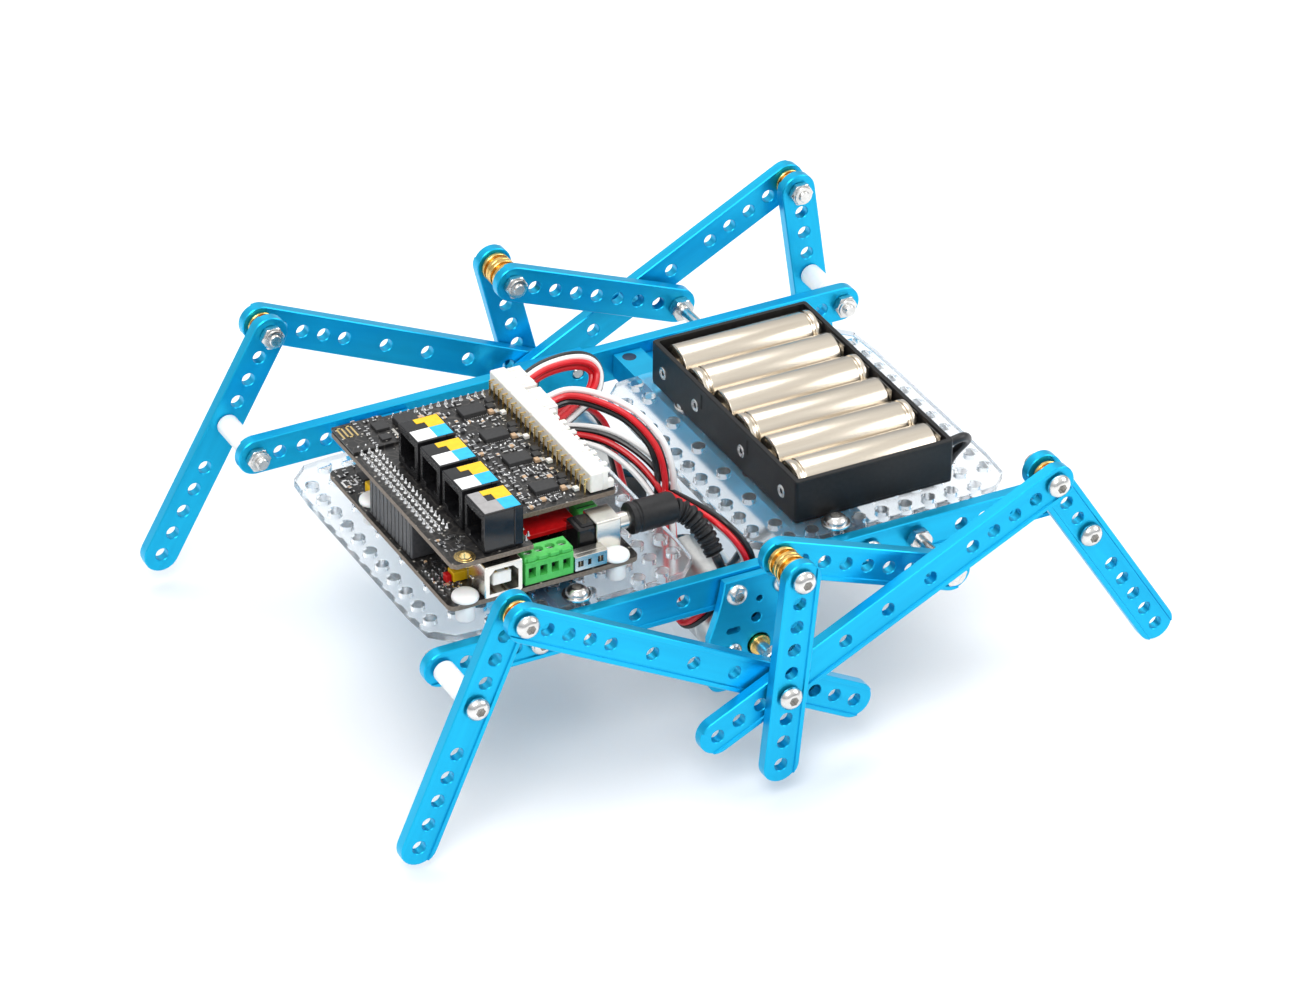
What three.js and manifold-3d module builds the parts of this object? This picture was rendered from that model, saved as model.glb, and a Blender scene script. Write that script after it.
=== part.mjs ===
// Six-legged walking robot kit: a frame of perforated aluminium beams carries two gear motors.
// Each motor turns a crank, and every crank drives a front, a middle and a rear leg by links.
// Millimetres. X runs along the chassis, Y across it (near side is -Y), +Z is up.
// The model is built around the chassis centre and moved at the end, so that the origin is
// the centre of the whole robot's footprint, on the ground.
import * as THREE from 'three';
import { mergeVertices } from 'three/addons/utils/BufferGeometryUtils.js';
import Module from 'manifold-3d';

const wasm = await Module();
wasm.setup();

// ---------- driving dimensions ----------
const PITCH = 8;                 // hole pitch of every beam
const BEAM_WIDTH = 12;
const BEAM_THICK = 4;
const HOLE_R = 2.3;              // clearance holes for M4 screws
const BOLT_R = 1.95;             // M4 shank
const CRANK_HOLE_R = 3.1;        // roomy hole that each crank pin runs in
const GAP = 0.3;                 // space between pieces that touch

const CHASSIS_LENGTH = 208;      // first to last hole of a side beam
const CHASSIS_WIDTH = 136;       // over the side beams' outer faces
const HALF_WIDTH = CHASSIS_WIDTH / 2;
const INNER = HALF_WIDTH - BEAM_THICK;

const LEG_ABOVE = 4 * PITCH;     // pivot to upper joint
const CRANK_Z = -20;             // motor shaft below the side beam's hole line
const CRANK_RADIUS = PITCH;
const ROCKER_X = 7 * PITCH;      // rocker pivot on the side beam
const ROCKER_LENGTH = 8 * PITCH;
const MID_ABOVE = 5 * PITCH;     // middle leg: upper joint to crank pin

// distances outward from a side beam's outer face to each layer's inner face
const LEG_OUT = 18.4;
const ROCKER_OUT = 18.8;
const LINK_OUT = 26;
const INNER_LINK_OUT = 23.7;     // the link nearer to the chassis, at the crank pin
const OUTER_LINK_OUT = 28;       // the link on top of it, at the crank pin
const MID_OUT = 32.5;
const DISC_OUT = 19.9;           // crank disc
const DISC_THICK = 2.9;
const DISC_R = 12;

const HEAD_R = 3.8;              // button head screws
const HEAD_H = 2.3;
const NUT_R = 4;                 // hexagon nuts, over the corners
const NUT_H = 3.2;
const THIN_NUT_H = 1.3;          // where a link passes close over the nut

const DECK_Z = 4;                // top of the cross beams, underside of the plates
const PLATE_THICK = 3;
const PLATE_TOP = DECK_Z + PLATE_THICK;
const CROSS_WIDTH = 24;
const FRONT_CROSS_X = -8 * PITCH;
const REAR_CROSS_X = 4 * PITCH;
const CROSS_HOLE_Y = 60;         // outermost holes of a cross beam

const MOTOR_R = 12.5;
const MOTOR_LENGTH = 50;

// ---------- materials ----------
function material(color, roughness, metalness, opacity = 1) {
  const options = { color, roughness, metalness, opacity, transparent: opacity < 1 };
  return new THREE.MeshStandardMaterial(options);
}
const anodised = material(0x12a4dc, 0.38, 0.7);
const steel = material(0xc9c9c6, 0.28, 0.95);
const brass = material(0xc89a3c, 0.3, 0.95);
const nylon = material(0xf2f3f1, 0.5, 0);
const clearAcrylic = material(0xe4edf2, 0.12, 0, 0.45);
const boardBlack = material(0x17181a, 0.55, 0.1);
const plasticBlack = material(0x0f1011, 0.45, 0);
const plasticWhite = material(0xf4f3ee, 0.45, 0);
const cellMetal = material(0xd2c8b4, 0.3, 0.9);
const cableBlack = material(0x131313, 0.5, 0);
const cableRed = material(0xc8141c, 0.4, 0);

// ---------- solids ----------
// A closed geometry that holds only positions, with its shared corners merged and no slivers.
function closed(source) {
  const bare = source.index ? source.toNonIndexed() : source.clone();
  bare.deleteAttribute('normal');
  bare.deleteAttribute('uv');
  const merged = mergeVertices(bare, 1e-4);
  const corners = merged.index.array;
  const kept = [];
  for (let i = 0; i < corners.length; i += 3) {
    const [a, b, c] = [corners[i], corners[i + 1], corners[i + 2]];
    if (a !== b && b !== c && c !== a) kept.push(a, b, c);
  }
  merged.setIndex(kept);
  return facingOut(merged);
}

function signedVolume(geometry) {
  const place = geometry.attributes.position;
  const corners = geometry.index.array;
  const [a, b, c] = [new THREE.Vector3(), new THREE.Vector3(), new THREE.Vector3()];
  let volume = 0;
  for (let i = 0; i < corners.length; i += 3) {
    a.fromBufferAttribute(place, corners[i]);
    b.fromBufferAttribute(place, corners[i + 1]);
    c.fromBufferAttribute(place, corners[i + 2]);
    volume += a.dot(b.cross(c)) / 6;
  }
  return volume;
}

function facingOut(geometry) {
  if (signedVolume(geometry) < 0) {
    const turned = Array.from(geometry.index.array);
    for (let i = 0; i < turned.length; i += 3) {
      [turned[i + 1], turned[i + 2]] = [turned[i + 2], turned[i + 1]];
    }
    geometry.setIndex(turned);
  }
  return geometry;
}

function toManifold(geometry) {
  const solid = closed(geometry);
  const vertProperties = Float32Array.from(solid.attributes.position.array);
  const triVerts = Uint32Array.from(solid.index.array);
  return new wasm.Manifold(new wasm.Mesh({ numProp: 3, vertProperties, triVerts }));
}

function fromManifold(solid) {
  const mesh = solid.getMesh();
  const geometry = new THREE.BufferGeometry();
  const place = new THREE.BufferAttribute(Float32Array.from(mesh.vertProperties), 3);
  geometry.setAttribute('position', place);
  geometry.setIndex(Array.from(mesh.triVerts));
  return geometry;
}

function cut(body, ...tools) {
  let solid = toManifold(body);
  for (const tool of tools) solid = solid.subtract(toManifold(tool));
  return fromManifold(solid);
}

function joined(body, ...others) {
  let solid = toManifold(body);
  for (const other of others) solid = solid.add(toManifold(other));
  return fromManifold(solid);
}

function box(x0, x1, y0, y1, z0, z1) {
  const geometry = new THREE.BoxGeometry(x1 - x0, y1 - y0, z1 - z0);
  return geometry.translate((x0 + x1) / 2, (y0 + y1) / 2, (z0 + z1) / 2);
}

// A solid of revolution about +Y: profile is a list of [radius, height].
function turned(profile, segments = 10) {
  const points = profile.map(([r, h]) => new THREE.Vector2(r, h));
  return closed(new THREE.LatheGeometry(points, segments));
}

function rod(radius, from, to, segments = 10) {
  return turned([[0, from], [radius, from], [radius, to], [0, to]], segments);
}

function sleeve(outer, inner, from, to, segments = 10) {
  const profile = [[inner, from], [outer, from], [outer, to], [inner, to], [inner, from]];
  return turned(profile, segments);
}

// a turned solid whose axis is turned from +Y to +Z
function upright(solid, x = 0, y = 0) {
  return solid.rotateX(Math.PI / 2).translate(x, y, 0);
}

function extruded(shape, depth, curveSegments = 6) {
  return new THREE.ExtrudeGeometry(shape, { depth, bevelEnabled: false, curveSegments });
}

function polygonHole(x, y, radius, sides) {
  const points = [];
  for (let i = 0; i < sides; i += 1) {
    const turn = (i + 0.5) * 2 * Math.PI / sides;
    points.push(new THREE.Vector2(x + radius * Math.cos(turn), y + radius * Math.sin(turn)));
  }
  return new THREE.Path().setFromPoints(points);
}

// ---------- beams ----------
// A round-ended beam along +X from its first hole, inner face at z = 0.
function beam(lastHole, drilled, wideHole = -1) {
  const length = lastHole * PITCH;
  const half = BEAM_WIDTH / 2;
  const outline = new THREE.Shape();
  outline.moveTo(0, -half);
  outline.lineTo(length, -half);
  outline.absarc(length, 0, half, -Math.PI / 2, Math.PI / 2, false);
  outline.lineTo(0, half);
  outline.absarc(0, 0, half, Math.PI / 2, 3 * Math.PI / 2, false);
  for (const index of drilled) {
    const wide = index === wideHole;
    const hole = polygonHole(index * PITCH, 0, wide ? CRANK_HOLE_R : HOLE_R, wide ? 12 : 8);
    outline.holes.push(hole);
  }
  return extruded(outline, BEAM_THICK, 4);
}

function range(first, last, step = 1) {
  const list = [];
  for (let value = first; value <= last; value += step) list.push(value);
  return list;
}

const SIDE_HOLES = [...range(0, 4), ...range(6, 20, 2), ...range(22, 26)];
const LINK_HOLES = [...range(0, 4), 6, 8, 10, ...range(12, 16)];
const LEG_HOLES = [...range(0, 4), ...range(6, 10)];
const SHORT_HOLES = range(0, 8);

// ---------- linkage ----------
// Angles are measured in the XZ plane from +Z towards +X.
function reach(from, angle, length) {
  const [x, z] = from;
  return [x + length * Math.sin(angle), z + length * Math.cos(angle)];
}

// Where two circles in the XZ plane meet; the higher of the two points.
function meet([x0, z0], r0, [x1, z1], r1) {
  const apart = Math.hypot(x1 - x0, z1 - z0);
  const along = (r0 * r0 - r1 * r1 + apart * apart) / (2 * apart);
  const aside = Math.sqrt(r0 * r0 - along * along);
  const [ux, uz] = [(x1 - x0) / apart, (z1 - z0) / apart];
  const [mx, mz] = [x0 + along * ux, z0 + along * uz];
  const first = [mx - aside * uz, mz + aside * ux];
  const second = [mx + aside * uz, mz - aside * ux];
  return first[1] > second[1] ? first : second;
}

// out: -1 for the near side, +1 for the far side. frontPin, rearPin: the hole of each link
// that the crank pin goes through. The outer link is the front or the rear one.
const SIDES = [
  { name: 'near', out: -1, crank: -70, frontPin: 12, rearPin: 13, outer: 'rear' },
  { name: 'far', out: 1, crank: 52.5, frontPin: 13, rearPin: 13, outer: 'front' },
];

function solve(side) {
  const axis = [0, CRANK_Z];
  const pin = reach(axis, THREE.MathUtils.degToRad(side.crank), CRANK_RADIUS);
  const frontPivot = [-CHASSIS_LENGTH / 2, 0];
  const rearPivot = [CHASSIS_LENGTH / 2, 0];
  const rockerPivot = [ROCKER_X, 0];
  const frontTop = meet(frontPivot, LEG_ABOVE, pin, side.frontPin * PITCH);
  const rearTop = meet(rearPivot, LEG_ABOVE, pin, side.rearPin * PITCH);
  const midTop = meet(rockerPivot, ROCKER_LENGTH, pin, MID_ABOVE);
  return { axis, pin, frontPivot, rearPivot, rockerPivot, frontTop, rearTop, midTop };
}

// ---------- placing ----------
const robot = new THREE.Group();

function add(name, geometry, finish) {
  const mesh = new THREE.Mesh(closed(geometry), finish);
  mesh.name = name;
  robot.add(mesh);
  return mesh;
}

// Places a beam so that its first hole's inner face is at `start` and it points to `end`.
// Both are [x, outward distance, z]; the beam's thickness grows outward.
function placeBeam(mesh, side, start, end) {
  const world = ([x, o, z]) => new THREE.Vector3(x, side.out * (HALF_WIDTH + o), z);
  const along = world(end).sub(world(start)).normalize();
  const outward = new THREE.Vector3(0, side.out, 0);
  const across = new THREE.Vector3().crossVectors(outward, along).normalize();
  const normal = new THREE.Vector3().crossVectors(along, across);
  mesh.matrix.makeBasis(along, across, normal);
  mesh.quaternion.setFromRotationMatrix(mesh.matrix);
  mesh.position.copy(world(start));
  return mesh;
}

// Moves a solid turned about +Y, whose heights are outward distances, to its place.
function outwards(solid, side, [x, z]) {
  if (side.out < 0) solid.rotateX(Math.PI);
  return solid.translate(x, side.out * HALF_WIDTH, z);
}

function screwProfile(seat, tip) {
  const crown = seat + HEAD_H;
  return [[0, tip], [BOLT_R, tip], [BOLT_R, seat], [HEAD_R, seat], [HEAD_R * 0.94, seat + 1.1],
    [HEAD_R * 0.6, crown], [0, crown]];
}

function screw(seat, tip) {
  return turned(screwProfile(seat, tip));
}

// A nut run onto its screw: solid, because it is joined to the shank.
function nut(from) {
  return rod(NUT_R, from, from + NUT_H, 6);
}

// ---------- chassis ----------
function sideBeam(side) {
  const mesh = add(`side_beam_${side.name}`, beam(26, SIDE_HOLES), anodised);
  const end = CHASSIS_LENGTH / 2;
  placeBeam(mesh, side, [-end, -BEAM_THICK, 0], [end, -BEAM_THICK, 0]);
}

function crossBeam(name, x) {
  const halfX = CROSS_WIDTH / 2;
  const length = 2 * (INNER - GAP);
  const grooveHalf = 2.1;
  const grooveDepth = 2.4;
  const outline = new THREE.Shape();
  outline.moveTo(-halfX, -DECK_Z);
  outline.lineTo(-grooveHalf, -DECK_Z);
  outline.lineTo(-grooveHalf, -DECK_Z + grooveDepth);
  outline.lineTo(grooveHalf, -DECK_Z + grooveDepth);
  outline.lineTo(grooveHalf, -DECK_Z);
  outline.lineTo(halfX, -DECK_Z);
  outline.lineTo(halfX, DECK_Z);
  outline.lineTo(grooveHalf, DECK_Z);
  outline.lineTo(grooveHalf, DECK_Z - grooveDepth);
  outline.lineTo(-grooveHalf, DECK_Z - grooveDepth);
  outline.lineTo(-grooveHalf, DECK_Z);
  outline.lineTo(-halfX, DECK_Z);
  const bar = extruded(outline, length).translate(0, 0, -length / 2).rotateX(Math.PI / 2);
  const holes = [];
  for (const row of [-PITCH, PITCH]) {
    for (const y of [-CROSS_HOLE_Y, -CROSS_HOLE_Y / 3, CROSS_HOLE_Y / 3, CROSS_HOLE_Y]) {
      holes.push(upright(rod(HOLE_R, -DECK_Z - 1, DECK_Z + 1, 8), row, y));
    }
    for (const end of [-INNER, INNER]) {
      const bore = rod(BOLT_R + 0.25, -6, 6, 8).translate(row, end, 0);
      holes.push(bore);
    }
  }
  add(name, cut(bar, ...holes).translate(x, 0, 0), anodised);
}

// ---------- deck plates ----------
const PLATE_X = 90;
const PLATE_Y0 = -INNER + GAP;
const PLATE_Y1 = 44;
const FRONT_PLATE_X = -59.5;
const REAR_PLATE_X = 48.5;
const LEAD_HOLE = [80, -44, 3];  // wider, for the battery lead
const FRONT_SCREWS = [[-56, -CROSS_HOLE_Y], [-72, CROSS_HOLE_Y / 3], [-56, CROSS_HOLE_Y / 3]];
const REAR_SCREWS = [[32, -CROSS_HOLE_Y], [24, CROSS_HOLE_Y / 3], [40, CROSS_HOLE_Y / 3]];

function deckPlate(name, x, holes) {
  const chamfer = 8;
  const [x0, x1] = [x - PLATE_X / 2, x + PLATE_X / 2];
  const outline = new THREE.Shape();
  outline.moveTo(x0 + chamfer, PLATE_Y0);
  outline.lineTo(x1 - chamfer, PLATE_Y0);
  outline.lineTo(x1, PLATE_Y0 + chamfer);
  outline.lineTo(x1, PLATE_Y1 - chamfer);
  outline.lineTo(x1 - chamfer, PLATE_Y1);
  outline.lineTo(x0 + chamfer, PLATE_Y1);
  outline.lineTo(x0, PLATE_Y1 - chamfer);
  outline.lineTo(x0, PLATE_Y0 + chamfer);
  for (const [holeX, holeY, radius = HOLE_R] of holes) {
    outline.holes.push(polygonHole(holeX, holeY, radius, 8));
  }
  add(name, extruded(outline, PLATE_THICK).translate(0, 0, DECK_Z + GAP), clearAcrylic);
}

// ---------- legs and links ----------
// A joint's screw with its nut behind the inner beam and its spacers between the beams.
function joint(name, side, place, outerSeat, innerFace, stack) {
  const bolt = outwards(screw(outerSeat + GAP, innerFace - NUT_H - 1), side, place);
  const lock = outwards(nut(innerFace - GAP - NUT_H), side, place);
  const spacers = stack.map(([radius, from, to]) => outwards(rod(radius, from, to), side, place));
  add(name, joined(bolt, lock, ...spacers), brass);
}

function legPair(side, which, pivot, top, pinHole, pin) {
  const leg = add(`${which}_leg_${side.name}`, beam(10, LEG_HOLES), anodised);
  placeBeam(leg, side, [top[0], LEG_OUT, top[1]], [pivot[0], LEG_OUT, pivot[1]]);
  const link = add(`${which}_link_${side.name}`, beam(16, LINK_HOLES.concat(
    LINK_HOLES.includes(pinHole) ? [] : [pinHole]), pinHole), anodised);
  const atPin = side.outer === which ? OUTER_LINK_OUT : INNER_LINK_OUT;
  placeBeam(link, side, [top[0], LINK_OUT, top[1]], [pin[0], atPin, pin[1]]);
  const legFace = LEG_OUT + BEAM_THICK;
  joint(`${which}_joint_${side.name}`, side, top, LINK_OUT + BEAM_THICK, LEG_OUT,
    [[4.6, legFace + GAP, LINK_OUT - GAP]]);
}

function middleLeg(side, { rockerPivot, midTop, pin }) {
  const rocker = add(`rocker_${side.name}`, beam(8, SHORT_HOLES), anodised);
  placeBeam(rocker, side, [midTop[0], ROCKER_OUT, midTop[1]],
    [rockerPivot[0], ROCKER_OUT, rockerPivot[1]]);
  const leg = add(`mid_leg_${side.name}`, beam(8, SHORT_HOLES, 5), anodised);
  placeBeam(leg, side, [midTop[0], MID_OUT, midTop[1]], [pin[0], MID_OUT, pin[1]]);
  const first = ROCKER_OUT + BEAM_THICK + GAP;
  const last = MID_OUT - GAP;
  joint(`mid_joint_${side.name}`, side, midTop, MID_OUT + BEAM_THICK, ROCKER_OUT,
    [[4, first, last], [5, first, first + 1.5], [5, last - 1.5, last]]);
}

// Hub on the motor shaft, the disc on its face and the crank pin with its screw head.
function crank(side, { axis, pin }) {
  const hub = outwards(rod(5, 13.5, DISC_OUT + 0.2, 12), side, axis);
  const disc = outwards(rod(DISC_R, DISC_OUT, DISC_OUT + DISC_THICK, 20), side, axis);
  const bore = outwards(rod(2.2, 13, DISC_OUT + 1, 8), side, axis);
  const pinEnd = MID_OUT + BEAM_THICK + GAP;
  const shank = outwards(screw(pinEnd, DISC_OUT + 0.5), side, pin);
  add(`crank_${side.name}`, joined(cut(joined(hub, disc), bore), shank), steel);
}

function legPivot(side, which, pivot) {
  const spacer = outwards(sleeve(3.5, HOLE_R, GAP, LEG_OUT - GAP), side, pivot);
  add(`${which}_leg_spacer_${side.name}`, spacer, nylon);
  const seat = LEG_OUT + BEAM_THICK + GAP;
  const bolt = outwards(screw(seat, -BEAM_THICK - NUT_H - 2), side, pivot);
  const lock = outwards(nut(-BEAM_THICK - GAP - NUT_H), side, pivot);
  add(`${which}_leg_pivot_${side.name}`, joined(bolt, lock), steel);
}

function rockerShaft(side, { rockerPivot }) {
  const outerFace = ROCKER_OUT + BEAM_THICK + GAP;
  const tip = outerFace + THIN_NUT_H;
  const shaft = outwards(rod(BOLT_R, -BEAM_THICK - NUT_H - 2, tip), side, rockerPivot);
  const seats = [-BEAM_THICK - GAP - NUT_H, GAP, ROCKER_OUT - GAP - NUT_H];
  const nuts = seats.map((from) => outwards(nut(from), side, rockerPivot));
  const thin = outwards(rod(NUT_R, outerFace, tip, 6), side, rockerPivot);
  add(`rocker_shaft_${side.name}`, joined(shaft, thin, ...nuts), steel);
}

// ---------- drive ----------
const BRACKET_THICK = 3;

function motorBracket(side) {
  const outline = new THREE.Shape();
  outline.moveTo(-12, 5);
  outline.quadraticCurveTo(-13, -4, -17, -14);
  outline.lineTo(-17, -30);
  outline.quadraticCurveTo(-16, -34, -12, -34);
  outline.lineTo(12, -34);
  outline.quadraticCurveTo(16, -34, 17, -30);
  outline.lineTo(17, -14);
  outline.quadraticCurveTo(13, -4, 12, 5);
  outline.holes.push(polygonHole(-PITCH, 0, HOLE_R, 8));
  outline.holes.push(polygonHole(PITCH, 0, HOLE_R, 8));
  outline.holes.push(polygonHole(0, CRANK_Z, 3.8, 12));
  for (const x of [-8.5, 8.5]) outline.holes.push(polygonHole(x, CRANK_Z, 1.8, 8));
  const plate = extruded(outline, BRACKET_THICK, 3).rotateX(Math.PI / 2);
  const inner = side.out * (HALF_WIDTH + GAP);
  const thick = side.out > 0 ? BRACKET_THICK : 0;
  add(`motor_bracket_${side.name}`, plate.translate(0, inner + thick, 0), anodised);
}

function motor(side) {
  const back = -MOTOR_LENGTH;
  const profile = [[0, back], [9, back], [9, back + 6], [MOTOR_R - 0.5, back + 6],
    [MOTOR_R - 0.5, -20], [MOTOR_R, -20], [MOTOR_R, 0], [3.5, 0], [3.5, 4.6], [2, 4.6],
    [2, DISC_OUT + 0.5], [0, DISC_OUT + 0.5]];
  const body = outwards(turned(profile, 20), side, [0, CRANK_Z]);
  add(`motor_${side.name}`, body, steel);
}

// ---------- electronics ----------
const BOARD_X = [-97.5, -34.5];
const BOARD_Y = [-59.5, 25.5];
const BOARD_Z = 13;
const BOARD_THICK = 1.6;
const BOARD_TOP = BOARD_Z + BOARD_THICK;
const BOARD_HOLES = [[-91, -56.3], [-41, -56.3], [-92.5, 4], [-41, 21]];
const BOARD_HOLE_R = 1.8;
const POST_R = 3;                // the spacers that carry the main board
const SHIELD_Z = 27.4;
const SHIELD_TOP = SHIELD_Z + BOARD_THICK;
const SHIELD_STEP = [-70, -43.4];   // inner corner of the shield board's outline
const JACK_X = -85.6;            // corner of the first signal socket
const JACK_Y = -58.2;
const JACK_SIZE = 13;
const JACK_PITCH = 15;
const PLUG_Y = -49;
const PLUG_Z = 21.5;

// the main board on its four spacers, with the green terminal block that is soldered to it
function mainBoard() {
  const board = box(...BOARD_X, ...BOARD_Y, BOARD_Z, BOARD_TOP);
  const posts = BOARD_HOLES.map(([x, y]) => (
    upright(rod(POST_R, PLATE_TOP + 2 * GAP, BOARD_Z + GAP), x, y)));
  const bores = BOARD_HOLES.map(([x, y]) => (
    upright(rod(BOARD_HOLE_R, PLATE_TOP, BOARD_TOP + 1), x, y)));
  const block = box(-72.5, -56.5, -59, -51.8, BOARD_TOP - 0.2, BOARD_TOP + 9.5);
  const slots = [0, 1, 2, 3].map((i) => {
    const x = -71.4 + 3.8 * i;
    return box(x, x + 2.6, -61, -56, BOARD_TOP + 2, BOARD_TOP + 5);
  });
  add('main_board', cut(joined(board, block, ...posts), ...slots, ...bores), boardBlack);
}

function ports() {
  const seat = BOARD_TOP + GAP;
  const shell = box(-86.5, -74, -60.5, -44, seat, seat + 11);
  const mouth = box(-84.7, -75.8, -61, -52, seat + 1.6, seat + 9.6);
  add('usb_socket', cut(shell, mouth), steel);
  const body = box(-52, -38, -53.6, -44.4, seat, seat + 11);
  const bore = rod(3.2, -8, 3, 12).rotateZ(-Math.PI / 2).translate(-40, PLUG_Y, PLUG_Z);
  add('power_jack', cut(body, bore), steel);
}

// the shield board with the header under it that plugs into the main board
function shieldBoard() {
  const [x0, x1] = [BOARD_X[0] + 1, BOARD_X[1] + 0.5];
  const outline = new THREE.Shape();
  outline.moveTo(x0, BOARD_Y[0]);
  outline.lineTo(SHIELD_STEP[0], BOARD_Y[0]);
  outline.lineTo(SHIELD_STEP[0], SHIELD_STEP[1]);
  outline.lineTo(x1, SHIELD_STEP[1]);
  outline.lineTo(x1, BOARD_Y[1]);
  outline.lineTo(x0, BOARD_Y[1]);
  outline.holes.push(polygonHole(...BOARD_HOLES[0], BOARD_HOLE_R, 8));
  const board = extruded(outline, BOARD_THICK).translate(0, 0, SHIELD_Z);
  const header = box(-96.2, -88.6, -31, -2, BOARD_TOP + GAP, SHIELD_Z + 0.5);
  add('shield_board', joined(board, header), boardBlack);
}

function signalSockets() {
  const x0 = JACK_X;
  const seat = SHIELD_TOP + GAP;
  for (let i = 0; i < 4; i += 1) {
    const y0 = JACK_Y + JACK_PITCH * i;
    const body = box(x0, x0 + JACK_SIZE, y0, y0 + JACK_SIZE, seat, seat + 13.5);
    const mouth = box(x0 - 1, x0 + 10, y0 + 1.7, y0 + JACK_SIZE - 1.7, seat + 3, seat + 11);
    add(`signal_socket_${i + 1}`, cut(body, mouth), plasticBlack);
  }
}

function motorConnectors() {
  const seat = SHIELD_TOP + GAP;
  add('motor_connectors', box(-42.5, -34.2, -42.5, 25.3, seat, seat + 6.5), plasticWhite);
}

// ---------- battery ----------
const HOLDER_X = [20.5, 75.5];
const HOLDER_Y = [-55.5, 38.5];
const HOLDER_TOP = 22.5;
const HOLDER_WALL = 1.6;
const CELL_R = 7.1;
const CELL_LENGTH = 50;
const CELL_COUNT = 6;
const CELL_Z = PLATE_TOP + 2 * GAP + HOLDER_WALL + CELL_R + 0.4;

function batteryHolder() {
  const [x0, x1] = HOLDER_X;
  const [y0, y1] = HOLDER_Y;
  const base = PLATE_TOP + 2 * GAP;
  const shell = box(x0, x1, y0, y1, base, HOLDER_TOP);
  const inside = box(x0 + HOLDER_WALL, x1 - HOLDER_WALL, y0 + HOLDER_WALL,
    y1 - HOLDER_WALL, base + HOLDER_WALL, HOLDER_TOP + 1);
  add('battery_holder', cut(shell, inside), plasticBlack);
}

// a cell along +X: can, shoulder and button, every second one turned round
function batteryCells() {
  const spacing = (HOLDER_Y[1] - HOLDER_Y[0] - 2 * HOLDER_WALL) / CELL_COUNT;
  const middle = (HOLDER_X[0] + HOLDER_X[1]) / 2;
  for (let i = 0; i < CELL_COUNT; i += 1) {
    const half = CELL_LENGTH / 2;
    const profile = [[0, -half], [CELL_R, -half], [CELL_R, half - 1.6],
      [2.75, half - 1.4], [2.75, half], [0, half]];
    const cell = turned(profile, 16).rotateZ(i % 2 ? Math.PI / 2 : -Math.PI / 2);
    const y = HOLDER_Y[0] + HOLDER_WALL + spacing * (i + 0.5);
    add(`cell_${i + 1}`, cell.translate(middle, y, CELL_Z), cellMetal);
  }
}

// ---------- leads ----------
function tube(points, radius, steps, sides = 8) {
  const curve = new THREE.CatmullRomCurve3(points.map((p) => new THREE.Vector3(...p)));
  const ring = new THREE.Shape();
  for (let i = 0; i < sides; i += 1) {
    const turn = i * 2 * Math.PI / sides;
    const corner = [radius * Math.cos(turn), radius * Math.sin(turn)];
    if (i === 0) ring.moveTo(...corner);
    else ring.lineTo(...corner);
  }
  return new THREE.ExtrudeGeometry(ring, { steps, extrudePath: curve, bevelEnabled: false });
}

const RELIEF_END = [-9, -59, 8];

function powerPlug() {
  const barrel = rod(2.7, 0, 10.5, 10).rotateZ(-Math.PI / 2).translate(-43.5, PLUG_Y, PLUG_Z);
  const body = rod(5, 0, 15.5, 10).rotateZ(-Math.PI / 2).translate(-33.2, PLUG_Y, PLUG_Z);
  const relief = tube([[-21, PLUG_Y, PLUG_Z], [-15, -51, 19.5], [-11, -55.5, 14], RELIEF_END],
    3.2, 8);
  add('power_plug', joined(body, barrel, relief), plasticBlack);
}

function leads() {
  const battery = [[-8.8, -59.35, 7.4], [-8.2, -60.2, 5.4], [-5.8, -59, 1.6], [0, -54, -1.4], [8, -46, -3.4],
    [18, -38, -7], [32, -32, -8.2], [50, -32, -7], [70, -38, -5], [79, -43, -0.5],
    [LEAD_HOLE[0], LEAD_HOLE[1], 5.5], [81.5, -46, 11], [83.5, -49.5, 17],
    [80.5, -52, 20.2], [75.9, -52.5, 20]];
  add('battery_lead', tube(battery, 1.5, 34), cableBlack);
  const near = [[-33.2, -8, 32.6], [-24, -10, 34.2], [-13, -16, 31], [-6.5, -19, 20],
    [-5.5, -17, 6], [-5.5, -10, -6], [-3, -7, -15], [0, -10.5, -19.6], [0, -17.2, -20]];
  add('motor_leads_near', tube(near, 2.6, 20), cableRed);
  const far = [[-33.2, 14, 32.6], [-25, 15, 34.6], [-15, 19, 33], [-6.5, 19, 22],
    [-5.5, 16, 6], [-5.5, 10, -6], [-3, 7, -15], [0, 10.5, -19.6], [0, 17.2, -20]];
  add('motor_leads_far', tube(far, 2.6, 20), cableRed);
}

// ---------- assembly ----------
for (const side of SIDES) {
  const pose = solve(side);
  sideBeam(side);
  motorBracket(side);
  motor(side);
  crank(side, pose);
  legPivot(side, 'front', pose.frontPivot);
  legPivot(side, 'rear', pose.rearPivot);
  legPair(side, 'front', pose.frontPivot, pose.frontTop, side.frontPin, pose.pin);
  legPair(side, 'rear', pose.rearPivot, pose.rearTop, side.rearPin, pose.pin);
  rockerShaft(side, pose);
  middleLeg(side, pose);
}
crossBeam('cross_beam_front', FRONT_CROSS_X);
crossBeam('cross_beam_rear', REAR_CROSS_X);
deckPlate('deck_plate_front', FRONT_PLATE_X, FRONT_SCREWS);
deckPlate('deck_plate_rear', REAR_PLATE_X, [...REAR_SCREWS, LEAD_HOLE]);
mainBoard();
ports();
shieldBoard();
signalSockets();
motorConnectors();
batteryHolder();
batteryCells();
powerPlug();
leads();

// the origin goes to the footprint's centre, on the ground
const bounds = new THREE.Box3().setFromObject(robot, true);
const centre = bounds.getCenter(new THREE.Vector3());
robot.position.set(-centre.x, -centre.y, -bounds.min.z);
robot.updateMatrixWorld(true);

export default robot;
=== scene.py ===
import itertools
import math
import random

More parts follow.
